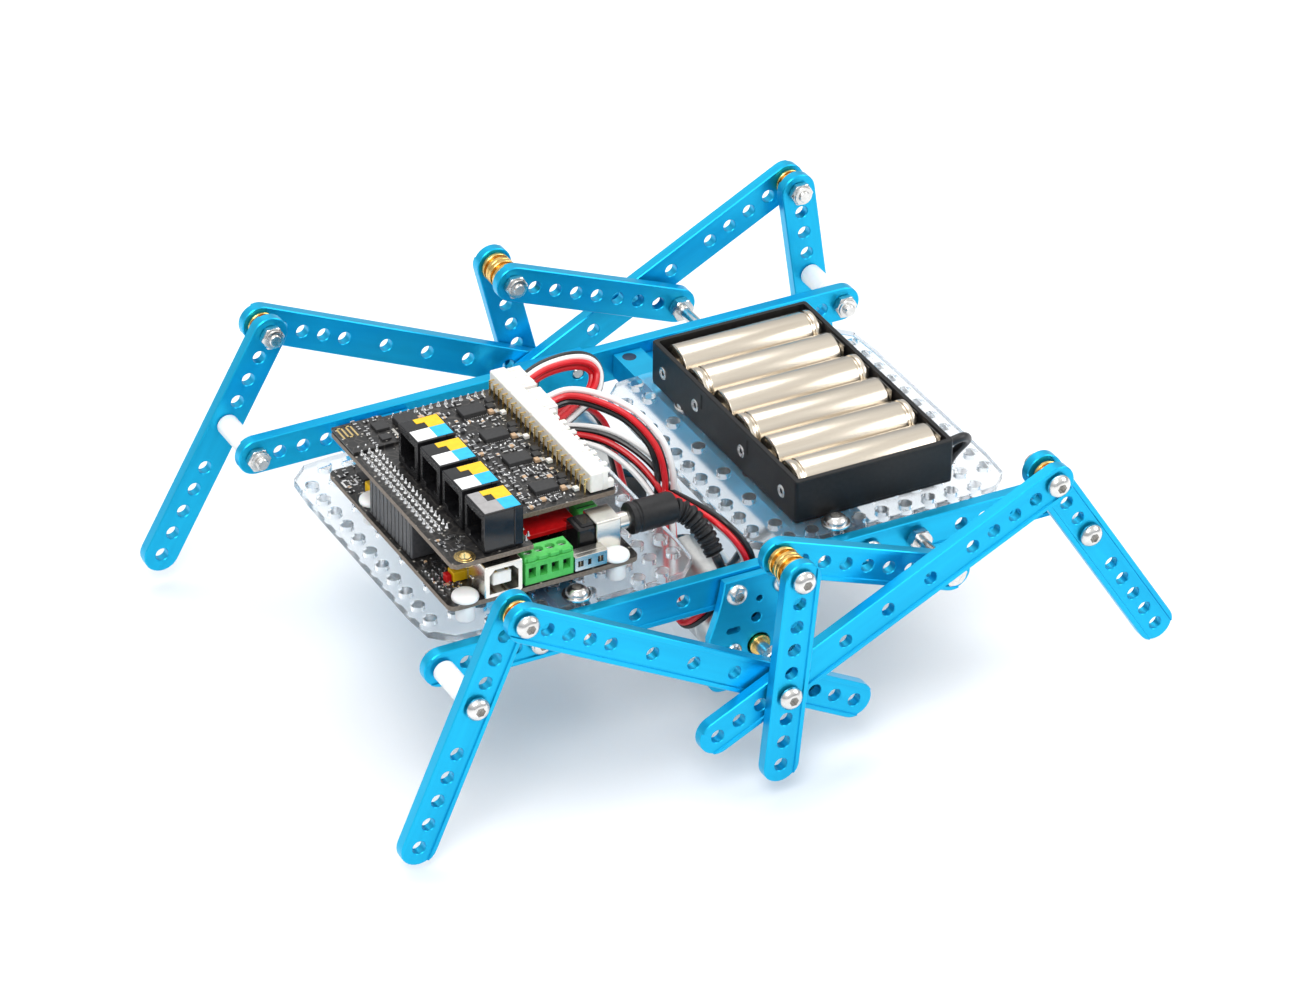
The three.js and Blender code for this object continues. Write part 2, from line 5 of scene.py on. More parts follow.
import bmesh
import bpy
import numpy as np
from mathutils import Matrix, Vector
from mathutils.geometry import delaunay_2d_cdt


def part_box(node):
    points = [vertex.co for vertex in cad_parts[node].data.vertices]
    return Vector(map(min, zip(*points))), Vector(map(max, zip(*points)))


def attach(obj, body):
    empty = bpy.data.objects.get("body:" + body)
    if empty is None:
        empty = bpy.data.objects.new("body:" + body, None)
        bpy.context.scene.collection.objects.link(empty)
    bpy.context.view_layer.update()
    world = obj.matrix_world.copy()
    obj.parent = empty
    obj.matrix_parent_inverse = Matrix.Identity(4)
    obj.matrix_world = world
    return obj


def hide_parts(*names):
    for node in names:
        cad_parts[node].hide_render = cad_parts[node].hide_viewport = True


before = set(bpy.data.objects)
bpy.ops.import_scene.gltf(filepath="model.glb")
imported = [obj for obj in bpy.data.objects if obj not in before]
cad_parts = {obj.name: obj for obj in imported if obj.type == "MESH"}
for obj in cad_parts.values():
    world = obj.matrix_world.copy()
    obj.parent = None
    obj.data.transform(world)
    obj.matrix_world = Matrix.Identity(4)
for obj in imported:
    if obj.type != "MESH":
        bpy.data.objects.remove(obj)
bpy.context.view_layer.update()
rng = random.Random(11)

# Sizes below are millimetres in the chassis frame: X along the robot, near side -Y, and z = 0 on
# the side beams' hole line. ORIGIN is that frame's zero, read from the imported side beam.
MM = 0.001
PITCH, WIDTH, THICK = 8, 12, 4
beam_low, beam_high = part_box("side_beam_near")
ORIGIN = Vector(((beam_low.x + beam_high.x) / 2, 0, (beam_low.z + beam_high.z) / 2))
HALF = -beam_low.y / MM
SIDES = (("near", -1), ("far", 1))
SHARP_ANGLE = math.radians(35)


# ---------- materials ----------
def finish(name, colours, scale=600, roughness=(0.4, 0.5), metallic=0.0, bump=0.0, bump_scale=1500,
        stretch=(1, 1, 1), **sockets):
    """A material whose colour and gloss vary a little over the surface."""
    material = bpy.data.materials.new(name)
    material.use_nodes = True
    nodes, links = material.node_tree.nodes, material.node_tree.links
    shader = nodes["Principled BSDF"]
    place = nodes.new("ShaderNodeTexCoord")
    mapping = nodes.new("ShaderNodeMapping")
    mapping.inputs["Scale"].default_value = stretch
    links.new(place.outputs["Object"], mapping.inputs["Vector"])
    grain = nodes.new("ShaderNodeTexNoise")
    grain.inputs["Scale"].default_value = scale
    grain.inputs["Detail"].default_value = 3
    links.new(mapping.outputs["Vector"], grain.inputs["Vector"])
    ramp = nodes.new("ShaderNodeValToRGB")
    ramp.color_ramp.elements[0].position = 0.3
    ramp.color_ramp.elements[1].position = 0.7
    ramp.color_ramp.elements[0].color = (*colours[0], 1)
    ramp.color_ramp.elements[1].color = (*colours[-1], 1)
    links.new(grain.outputs["Fac"], ramp.inputs["Fac"])
    links.new(ramp.outputs["Color"], shader.inputs["Base Color"])
    gloss = nodes.new("ShaderNodeMapRange")
    gloss.inputs["To Min"].default_value, gloss.inputs["To Max"].default_value = roughness
    links.new(grain.outputs["Fac"], gloss.inputs["Value"])
    links.new(gloss.outputs["Result"], shader.inputs["Roughness"])
    shader.inputs["Metallic"].default_value = metallic
    if bump:
        fine = nodes.new("ShaderNodeTexNoise")
        fine.inputs["Scale"].default_value = bump_scale
        links.new(mapping.outputs["Vector"], fine.inputs["Vector"])
        relief = nodes.new("ShaderNodeBump")
        relief.inputs["Strength"].default_value = bump
        relief.inputs["Distance"].default_value = 0.0001
        links.new(fine.outputs["Fac"], relief.inputs["Height"])
        links.new(relief.outputs["Normal"], shader.inputs["Normal"])
    for socket, value in sockets.items():
        shader.inputs[socket.replace("_", " ")].default_value = value
    return material


BLUE = finish("blue_anodised", [(0.002, 0.39, 0.68), (0.004, 0.46, 0.76)], 260, (0.28, 0.40), 0.72,
    0.12, 2600, (0.08, 1, 1))
STEEL = finish("steel", [(0.60, 0.59, 0.57), (0.76, 0.75, 0.73)], 500, (0.16, 0.3), 1, 0.05)
BRASS = finish("brass", [(0.72, 0.44, 0.12), (0.86, 0.58, 0.20)], 500, (0.16, 0.32), 1, 0.05)
GOLD = finish("gold_plating", [(0.80, 0.58, 0.24), (0.88, 0.68, 0.33)], 800, (0.2, 0.3), 1)
NYLON = finish("white_nylon", [(0.84, 0.85, 0.84), (0.9, 0.9, 0.89)], 400, (0.35, 0.5), 0, 0.06,
    Subsurface_Weight=0.15, Subsurface_Scale=0.002)
ACRYLIC = finish("clear_acrylic", [(0.90, 0.93, 0.95), (0.95, 0.97, 0.985)], 90, (0.16, 0.24), 0,
    0.02, 400, Transmission_Weight=0.95, IOR=1.2)
TIN = finish("tinned_sheet", [(0.70, 0.68, 0.63), (0.80, 0.78, 0.72)], 300, (0.16, 0.3), 1, 0.08)
SOLDER = finish("solder", [(0.72, 0.72, 0.72), (0.88, 0.88, 0.87)], 900, (0.14, 0.28), 1)
GLOSS_BLACK = finish("gloss_black", [(0.006, 0.006, 0.007), (0.012, 0.012, 0.013)], 500,
    (0.14, 0.26), 0, 0.04)
CHIP_BLACK = finish("chip_black", [(0.02, 0.02, 0.021), (0.032, 0.032, 0.033)], 1200, (0.5, 0.62),
    0, 0.1, 5000)
HEADER_GREY = finish("header_grey", [(0.035, 0.036, 0.04), (0.055, 0.056, 0.06)], 900, (0.4, 0.5),
    0, 0.05)
WHITE = finish("white_plastic", [(0.80, 0.79, 0.74), (0.87, 0.86, 0.82)], 500, (0.32, 0.44), 0,
    0.04, Subsurface_Weight=0.1, Subsurface_Scale=0.001)
GREEN = finish("green_plastic", [(0.05, 0.42, 0.07), (0.08, 0.52, 0.10)], 500, (0.36, 0.48), 0,
    0.05)
RED_BOARD = finish("red_solder_mask", [(0.55, 0.004, 0.006), (0.68, 0.010, 0.012)], 700,
    (0.25, 0.4))
YELLOW, CYAN, WHITE_PRINT, GREY_PRINT = (
    finish(name + "_print", colours, 600, (0.35, 0.45)) for name, colours in (
        ("yellow", [(0.86, 0.50, 0.004), (0.94, 0.58, 0.008)]),
        ("cyan", [(0.01, 0.42, 0.72), (0.015, 0.50, 0.80)]),
        ("white", [(0.86, 0.86, 0.86), (0.92, 0.92, 0.92)]),
        ("grey", [(0.32, 0.31, 0.31), (0.38, 0.37, 0.37)])))
BEIGE = finish("ceramic_beige", [(0.48, 0.30, 0.17), (0.62, 0.44, 0.28)], 2000, (0.4, 0.5))
HOLDER = finish("holder_black", [(0.004, 0.004, 0.0045), (0.009, 0.009, 0.0095)], 700, (0.36, 0.5),
    0, 0.2, 3200, Specular_IOR_Level=0.35)
CELL = finish("cell_nickel", [(0.64, 0.57, 0.47), (0.72, 0.65, 0.55)], 420, (0.2, 0.3), 1, 0.015,
    1800, (0.06, 1, 1))
MOTOR_METAL = finish("motor_metal", [(0.52, 0.52, 0.51), (0.66, 0.66, 0.64)], 300, (0.24, 0.38), 1,
    0.08)
RUBBER = finish("black_rubber", [(0.006, 0.006, 0.0065), (0.012, 0.012, 0.013)], 900, (0.40, 0.54),
    0, 0.15, 3000, Specular_IOR_Level=0.4)
WIRE_RED = finish("red_insulation", [(0.56, 0.004, 0.010), (0.68, 0.008, 0.016)], 300, (0.26, 0.38))
WIRE_WHITE = finish("white_insulation", [(0.80, 0.79, 0.78), (0.88, 0.87, 0.86)], 300, (0.3, 0.42))
WIRE_BLACK = finish("black_insulation", [(0.008, 0.008, 0.009), (0.016, 0.016, 0.017)], 300,
    (0.26, 0.38))
BOARD_EDGE = finish("board_edge", [(0.13, 0.10, 0.075), (0.22, 0.18, 0.14)], 1500, (0.5, 0.65))
# Painted shade: a dark blue that stands in for the shade inside the cross beams' holes, which are
# not cut.
PAINTED_BORE_SHADE = finish("painted_bore_shade", [(0.0, 0.018, 0.05), (0.001, 0.03, 0.08)], 900, (0.5, 0.6))
# Painted shade: near black, put in slots, openings and rivet holes where only shade would show.
PAINTED_HOLLOW_SHADE = finish("painted_hollow_shade", [(0.004, 0.004, 0.004), (0.008, 0.008, 0.008)], 800, (0.7, 0.8))


def solder_mask():
    """Black solder mask with thin traces and small plated vias."""
    material = finish("board_black", [(0.010, 0.010, 0.011), (0.018, 0.017, 0.016)], 500,
        (0.26, 0.4))
    nodes, links = material.node_tree.nodes, material.node_tree.links
    shader = nodes["Principled BSDF"]
    plain = shader.inputs["Base Color"].links[0].from_socket
    place = nodes.new("ShaderNodeTexCoord")

    def layer(texture, scale, low, high, colour, under, feature=None):
        node = nodes.new(texture)
        node.inputs["Scale"].default_value = scale
        if feature:
            node.feature = feature
        links.new(place.outputs["Object"], node.inputs["Vector"])
        band = nodes.new("ShaderNodeMapRange")
        band.inputs["From Min"].default_value = low
        band.inputs["From Max"].default_value = high
        links.new(node.outputs["Distance" if feature else "Color"], band.inputs["Value"])
        mix = nodes.new("ShaderNodeMix")
        mix.data_type = "RGBA"
        links.new(band.outputs["Result"], mix.inputs["Factor"])
        links.new(under, mix.inputs["A"])
        mix.inputs["B"].default_value = (*colour, 1)
        return mix.outputs["Result"]

    traces = layer("ShaderNodeTexVoronoi", 330, 0.06, 0.03, (0.05, 0.046, 0.042), plain,
        "DISTANCE_TO_EDGE")
    vias = layer("ShaderNodeTexVoronoi", 420, 0.17, 0.13, (0.42, 0.40, 0.36), traces, "F1")
    links.new(vias, shader.inputs["Base Color"])
    return material


BOARD = solder_mask()


# ---------- mesh building ----------
class Shape:
    """Faces gathered from several closed solids, in millimetres."""

    def __init__(self):
        self.verts, self.faces, self.slots = [], [], []

    def add(self, solid, slot=0, at=None):
        verts, faces = solid
        base = len(self.verts)
        self.verts += [tuple(at @ Vector(v)) if at else tuple(v) for v in verts]
        self.faces += [[base + i for i in face] for face in faces]
        self.slots += [slot] * len(faces)
        return self

    def block(self, x0, x1, y0, y1, z0, z1, edge, slot=0, at=None):
        solid = block(x0, x1, y0, y1, z0, z1, edge)
        return self.add(solid, slot, at)


def piece(name, shape, materials, slot, replaces=(), body="chassis", at=None):
    """The Blender object of a shape. Its mesh is in metres, in the row frame or in `at`."""
    mesh = bpy.data.meshes.new(name)
    shift = Vector() if at else ORIGIN
    mesh.from_pydata([Vector(v) * MM + shift for v in shape.verts], [], shape.faces)
    for material in materials:
        mesh.materials.append(material)
    mesh.polygons.foreach_set("material_index", shape.slots)
    work = bmesh.new()
    work.from_mesh(mesh)
    bmesh.ops.recalc_face_normals(work, faces=work.faces)
    work.to_mesh(mesh)
    work.free()
    mesh.polygons.foreach_set("use_smooth", [True] * len(mesh.polygons))
    mesh.set_sharp_from_angle(angle=SHARP_ANGLE)
    return place(name, mesh, slot, replaces, body, at)


def place(name, mesh, slot, replaces, body, at):
    made = bpy.data.objects.new(name, mesh)
    bpy.context.scene.collection.objects.link(made)
    if at:
        made.matrix_world = at
    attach(made, body)
    if replaces:
        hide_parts(*replaces)
    return made


def loft(rings, caps=True):
    count = len(rings[0])
    verts = [point for ring in rings for point in ring]
    faces = []
    for k in range(len(rings) - 1):
        for i in range(count):
            j = (i + 1) % count
            faces.append((k * count + i, k * count + j, (k + 1) * count + j, (k + 1) * count + i))
    if caps:
        faces.append(tuple(range(count))[::-1])
        faces.append(tuple((len(rings) - 1) * count + i for i in range(count)))
    return verts, faces


def ring(radius, height, count=24, sides=0):
    """A level ring of points: a circle, or a polygon of `sides` with that corner radius."""
    points = []
    for i in range(count):
        turn = 2 * math.pi * i / count
        reach = radius
        if sides:
            part = 2 * math.pi / sides
            reach *= math.cos(part / 2) / math.cos(turn % part - part / 2)
        points.append((reach * math.cos(turn), reach * math.sin(turn), height))
    return points


def turned(profile, count=24):
    """A closed solid from (radius, height) or (radius, height, sides) steps along +Z."""
    return loft([ring(step[0], step[1], count, *step[2:]) for step in profile])


def fill(points, loops, extra=()):
    """Triangles between an outer loop and its holes, as indices into points."""
    edges = [(a, b) for loop in loops for a, b in zip(loop, list(loop[1:]) + [loop[0]])]
    used = sorted({i for edge in edges for i in edge})
    order = {index: n for n, index in enumerate(used)}
    flat = [Vector(points[i][:2]) for i in used]
    made = delaunay_2d_cdt(flat, [(order[a], order[b]) for a, b in edges + list(extra)], [], 0,
        1e-6)
    back = [used[ids[0]] for ids in made[3]]
    corners = np.array([[made[0][i] for i in face] for face in made[2]])
    centre = corners.mean(1)
    start = np.array([points[a][:2] for a, _ in edges])
    end = np.array([points[b][:2] for _, b in edges])
    x, y = centre[:, :1], centre[:, 1:]
    crosses = (start[:, 1] > y) != (end[:, 1] > y)
    rise = np.where(end[:, 1] == start[:, 1], 1, end[:, 1] - start[:, 1])
    at = start[:, 0] + (y - start[:, 1]) * (end[:, 0] - start[:, 0]) / rise
    inside = (crosses & (x < at)).sum(1) % 2 == 1
    return [tuple(back[i] for i in face) for face, keep in zip(made[2], inside) if keep]


def inset(outline, distance):
    """The outline, counter-clockwise, moved inwards."""
    moved = []
    for i, here in enumerate(outline):
        before, after = outline[i - 1], outline[(i + 1) % len(outline)]
        a = Vector((here[0] - before[0], here[1] - before[1])).normalized()
        b = Vector((after[0] - here[0], after[1] - here[1])).normalized()
        bisector = Vector((-a.y - b.y, a.x + b.x))
        bisector /= max(1e-6, 1 + a.dot(b))
        moved.append((here[0] + bisector.x * distance, here[1] + bisector.y * distance))
    return moved


def circle(radius, count, x=0, y=0):
    return [(px + x, py + y) for px, py, _ in ring(radius, 0, count)]


def bored(x, y, radius, low, high, edge, around):
    """The rings of a hole with broken rims."""
    steps = [(radius + edge, low), (radius, low + edge), (radius, high - edge),
        (radius + edge, high)]
    return [[(x + px, y + py, pz) for px, py, pz in ring(r, z, around)] for r, z in steps]


def pierced(rings, shafts, lines=()):
    """A solid from four rings, with shafts through it and its two flat ends filled round them.
    lines: edges that the upper end keeps."""
    verts, faces = loft(rings, False)
    count = len(rings[0])
    bottoms, tops = [list(range(count))], [list(range(3 * count, 4 * count))]
    for shaft in shafts:
        base, size = len(verts), len(shaft[0])
        more, sides = loft(shaft, False)
        verts += more
        faces += [tuple(base + i for i in face) for face in sides]
        bottoms.append(list(range(base, base + size)))
        tops.append(list(range(base + (len(shaft) - 1) * size, base + len(shaft) * size)))
    return verts, faces + fill(verts, bottoms) + fill(verts, tops, lines)


def sheet(outline, low, high, holes=(), edge=0.25, hole_edge=0.15, cuts=()):
    """A flat solid with broken edges. holes: (x, y, radius); cuts: counter-clockwise outlines."""
    inner = inset(outline, edge)
    rings = [[(x, y, z) for x, y in line] for line, z in ((inner, low), (outline, low + edge),
        (outline, high - edge), (inner, high))]
    shafts = [bored(x, y, radius, low, high, hole_edge, 16 if radius > 1.2 else 10)
        for x, y, radius in holes]
    shafts += [[[(x, y, z) for x, y in cut] for z in (low, high)] for cut in cuts]
    return pierced(rings, shafts)


def rectangle(x0, x1, y0, y1, corner=0.0, steps=4):
    if not corner:
        return [(x0, y0), (x1, y0), (x1, y1), (x0, y1)]
    points = []
    for cx, cy, first in ((x1 - corner, y0 + corner, -90), (x1 - corner, y1 - corner, 0),
            (x0 + corner, y1 - corner, 90), (x0 + corner, y0 + corner, 180)):
        for i in range(steps + 1):
            turn = math.radians(first + 90 * i / steps)
            points.append((cx + corner * math.cos(turn), cy + corner * math.sin(turn)))
    return points


def block(x0, x1, y0, y1, z0, z1, edge):
    """A box with all its edges and corners broken."""
    low, high = (x0, y0, z0), (x1, y1, z1)
    corners = list(itertools.product((0, 1), repeat=3))
    verts, index = [], {}
    for signs in corners:
        for axis in range(3):
            index[signs, axis] = len(verts)
            verts.append(tuple((high if s else low)[k] + (0 if k == axis else -edge if s else edge)
                for k, s in enumerate(signs)))
    faces = []
    for axis in range(3):
        a, b = (axis + 1) % 3, (axis + 2) % 3

        def at(side, u, v):
            signs = {axis: side, a: u, b: v}
            return signs[0], signs[1], signs[2]

        for side in (0, 1):
            faces.append([index[at(side, u, v), axis] for u, v in ((0, 0), (1, 0), (1, 1), (0, 1))])
        for u, v in itertools.product((0, 1), repeat=2):
            faces.append([index[at(0, u, v), a], index[at(1, u, v), a], index[at(1, u, v), b],
                index[at(0, u, v), b]])
    return verts, faces + [[index[signs, axis] for axis in range(3)] for signs in corners]


def smooth_path(points, per=8):
    """Points on a smooth curve through the given ones."""
    given = [Vector(p) for p in points]
    given = [given[0] * 2 - given[1]] + given + [given[-1] * 2 - given[-2]]
    path = []
    for i in range(1, len(given) - 2):
        p0, p1, p2, p3 = given[i - 1:i + 3]
        for step in range(per):
            t = step / per
            path.append(0.5 * (2 * p1 + (p2 - p0) * t + (2 * p0 - 5 * p1 + 4 * p2 - p3) * t * t
                + (3 * p1 - p0 - 3 * p2 + p3) * t ** 3))
    path.append(given[-2])
    return path


def tangents(path):
    last = len(path) - 1
    return [(path[min(i + 1, last)] - path[max(i - 1, 0)]).normalized() for i in range(last + 1)]


def swept(path, radius, count=10):
    """A tube along a path; radius is a number or a function of the share along it."""
    rings = []
    side = None
    for i, (centre, along) in enumerate(zip(path, tangents(path))):
        side = side or along.orthogonal().normalized()
        side = (side - along * side.dot(along)).normalized()
        up = along.cross(side)
        r = radius(i / (len(path) - 1)) if callable(radius) else radius
        rings.append([tuple(centre + side * (r * math.cos(a)) + up * (r * math.sin(a)))
            for a in (2 * math.pi * k / count for k in range(count))])
    return loft(rings)


def outward(out, x, z, distance=0.0):
    """Local +Z points away from the chassis, from a side beam's outer face."""
    return Matrix(((1, 0, 0, x), (0, 0, out, out * (HALF + distance)), (0, -out, 0, z),
        (0, 0, 0, 1)))


def along_x(x, y, z, sign=1):
    return Matrix(((0, 0, sign, x), (0, 1, 0, y), (-sign, 0, 0, z), (0, 0, 0, 1)))


def along_y(x, y, z, sign=1):
    return Matrix(((1, 0, 0, x), (0, 0, sign, y), (0, -sign, 0, z), (0, 0, 0, 1)))


# Sheets drawn in the XZ plane and thickened along Y, and in the YZ plane along X.
IN_XZ = Matrix(((1, 0, 0, 0), (0, 0, 1, 0), (0, 1, 0, 0), (0, 0, 0, 1)))
IN_YZ = Matrix(((0, 0, 1, 0), (1, 0, 0, 0), (0, 1, 0, 0), (0, 0, 0, 1)))


def extent(node):
    """The low and the high corner of a CAD node's box, in millimetres in the chassis frame."""
    return [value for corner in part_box(node) for value in (corner - ORIGIN) / MM]


def middle(node):
    low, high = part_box(node)
    return ((low + high) / 2 - ORIGIN) / MM


# ---------- beams ----------
def listed(first, last, step=1):
    return list(range(first, last + 1, step))


HOLES = {26: listed(0, 4) + listed(6, 20, 2) + listed(22, 26),
    16: listed(0, 4) + [6, 8, 10] + listed(12, 16), 10: listed(0, 4) + listed(6, 10),
    8: listed(0, 8)}
FLOOR, RIM, RECESS = 4.5, 4.75, 0.55    # half widths of the recess and its rims, and its depth
HOLE, WIDE_HOLE = 2.15, 3.1             # radii; the wide ones are the open pivots
MID_PIN = 5                             # the middle leg's hole on the crank pin
beam_meshes = {}


def narrowest(flat, turn=0.0):
    """The direction along which points in a plane make the narrowest strip."""
    for reach in (0.1, 0.005, 0.00025):
        turns = turn + np.linspace(-reach, reach, 41)
        turn = turns[np.ptp(flat @ np.array([-np.sin(turns), np.cos(turns)]), axis=0).argmin()]
    return turn


def beam_frame(node, out):
    """A beam's own frame, from its CAD solid: X along it from the upper end, Z outward from its
    inner face; and its number of pitches from first to last hole."""
    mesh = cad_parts[node].data
    co = np.empty(len(mesh.vertices) * 3)
    mesh.vertices.foreach_get("co", co)
    co = np.unique(np.round(co.reshape(-1, 3), 6), axis=0)
    flat = co[:, (0, 2)]
    first = np.linalg.svd(flat - flat.mean(0), full_matrices=False)[2][0]
    turn = narrowest(flat, math.atan2(first[1], first[0]))
    level = Vector((math.cos(turn), 0, math.sin(turn)))
    if level.z > 1e-4 or (abs(level.z) <= 1e-4 and level.x < 0):
        level.negate()
    lean = narrowest(np.stack([co @ np.array(level), co[:, 1]], 1))
    along = level * math.cos(lean) + Vector((0, math.sin(lean), 0))
    away = (Vector((0, out, 0)) - along * along.y * out).normalized()
    across = away.cross(along)
    basis = np.array([along, across, away])
    local = co @ basis.T
    low, high = local.min(0), local.max(0)
    origin = basis.T @ np.array([low[0] + WIDTH / 2 * MM, (low[1] + high[1]) / 2, low[2]])
    at = Matrix((along, across, away)).transposed().to_4x4()
    at.translation = Vector(origin)
    return at, round(((high[0] - low[0]) / MM - WIDTH) / PITCH)


def beam_solid(pitches, wide=None):
    """A round-ended beam with a recess between two rims on its outer face."""
    length, half, edge = pitches * PITCH, WIDTH / 2, 0.3
    low_turn = math.degrees(math.asin(FLOOR / half))
    high_turn = math.degrees(math.asin(RIM / half))
    right = [-90, -78, -66, -high_turn, -low_turn, -36, -24, -12, 0]
    right += [-turn for turn in right[-2::-1]]
    outer, inner, tops = [], [], []
    for end, turns in ((length, right), (0, [turn + 180 for turn in right])):
        for turn, base in zip(turns, right):
            c, s = math.cos(math.radians(turn)), math.sin(math.radians(turn))
            outer.append((end + half * c, half * s))
            inner.append((end + (half - edge) * c, (half - edge) * s))
            tops.append(THICK if abs(base) >= high_turn - 0.01 else THICK - RECESS)
    rings = [[(x, y, 0) for x, y in inner], [(x, y, edge) for x, y in outer],
        [(x, y, top - edge) for (x, y), top in zip(outer, tops)],
        [(x, y, top) for (x, y), top in zip(inner, tops)]]
    size = len(outer)
    indices = HOLES[pitches] + ([wide] if wide and wide not in HOLES[pitches] else [])
    shafts = [bored(index * PITCH, 0, WIDE_HOLE if index == wide else HOLE, 0, THICK - RECESS, 0.2,
        20) for index in indices]
    lines = [(3 * size + i, 4 * size - 1 - i) for i, base in enumerate(right)
        if min(abs(abs(base) - low_turn), abs(abs(base) - high_turn)) < 0.01]
    return pierced(rings, shafts, lines)


def beam(node, out, body, wide=None):
    at, pitches = beam_frame(node, out)
    key = (pitches, wide)
    name, rest = node + "_beam", ("blue_anodised", (node,), body, at)
    if key in beam_meshes:
        place(name, beam_meshes[key], *rest)
    else:
        beam_meshes[key] = piece(name, Shape().add(beam_solid(pitches, wide)), [BLUE], *rest).data
    return at


def cross_beam(name):
    """A wide beam under the deck: groove above and below, two rows of holes drawn as thin discs in
    painted shade, tapped ends.
    """
    x0, y0, z0, x1, y1, z1 = extent(name)
    x, half, length = (x0 + x1) / 2, (x1 - x0) / 2, y1 - y0
    outline = [(-half, -4), (-2.1, -4), (-2.1, -1.6), (2.1, -1.6), (2.1, -4), (half, -4), (half, 4),
        (2.1, 4), (2.1, 1.6), (-2.1, 1.6), (-2.1, 4), (-half, 4)]
    bores = [(-8, 0, 1.7), (8, 0, 1.7)]
    bar = sheet(outline, 0, length, bores, 0.3, 0.1)
    shape = Shape().add(bar, 0, along_y(x, y0, 0) @ Matrix.Diagonal((1, -1, 1, 1)))
    for row in (-8, 8):
        for y in (-60, -20, 20, 60):
            for top in (-1, 1):
                # The holes are not cut: each is a thin disc on the face, coloured with painted
                # shade.
                hole_shade_disc = turned([(2.3, 0), (2.2, 0.06)], 20)
                shape.add(hole_shade_disc, 1, Matrix.Translation((x + row, y, top * 4 - (top < 0) * 0.06)))
    piece(name + "_bar", shape, [BLUE, PAINTED_BORE_SHADE], "blue_anodised", (name,))


# ---------- hardware ----------
def thread(first, last, radius=1.95):
    steps, height = [], first + 0.35
    while height < last - 0.4:
        steps += [(radius, height), (radius - 0.2, height + 0.35)]
        height += 0.7
    return [(radius - 0.3, first)] + steps


def screw(seat, tip, head=3.8, tall=2.3, radius=1.95, threaded=6):
    """Button head screw with a hexagon socket, its head outward from seat and its tip inward."""
    shank = thread(tip, min(tip + threaded, seat), radius)
    head_steps = [(radius, seat), (head, seat), (head, seat + 0.15 * tall),
        (0.94 * head, seat + 0.42 * tall), (0.78 * head, seat + 0.74 * tall),
        (0.6 * head, seat + 0.93 * tall), (0.46 * head, seat + tall), (0.42 * head, seat + tall, 6),
        (0.4 * head, seat + 0.1 * tall, 6)]
    return turned(shank + head_steps)


def nut(first, tall=3.2, lock=False):
    """Hexagon nut from `first` outward; lock adds the collar of a lock nut at its inner end."""
    corner = 4.0
    flat = corner * 0.87
    steps = [(flat, first), (corner, first + 0.3, 6), (corner, first + tall - 0.3, 6),
        (flat, first + tall)]
    if lock:
        steps = [(2.5, first), (3.0, first + 0.1), (3.1, first + 0.8), (flat, first + 0.9),
            (corner, first + 1.2, 6)] + steps[2:]
    return turned(steps)


def spacer(first, last, radius, flanges):
    """Turned brass bush with grooves between its flanges."""
    width = (last - first) / (2 * flanges - 1)
    steps = []
    for k in range(2 * flanges - 1):
        low, high = first + k * width, first + (k + 1) * width
        r = radius if k % 2 == 0 else radius * 0.8
        steps += [(r - 0.2, low), (r, low + 0.2), (r, high - 0.2), (r - 0.2, high)]
    return turned(steps, 28)


def stack(node, out, body, *parts):
    """Pieces on one axis for a CAD node; parts: (suffix, solids, material, slot)."""
    centre = middle(node)
    at = outward(out, centre.x, centre.z)
    for number, (suffix, solids, material, slot) in enumerate(parts):
        shape = Shape()
        for solid in solids:
            shape.add(solid, 0, at)
        piece(f"{node}_{suffix}", shape, [material], slot, () if number else (node,), body)


LEG_OUT, ROCKER_OUT, LINK_OUT, MID_OUT = 18.4, 18.8, 26, 32.5
GAP, NUT_TALL = 0.3, 3.2

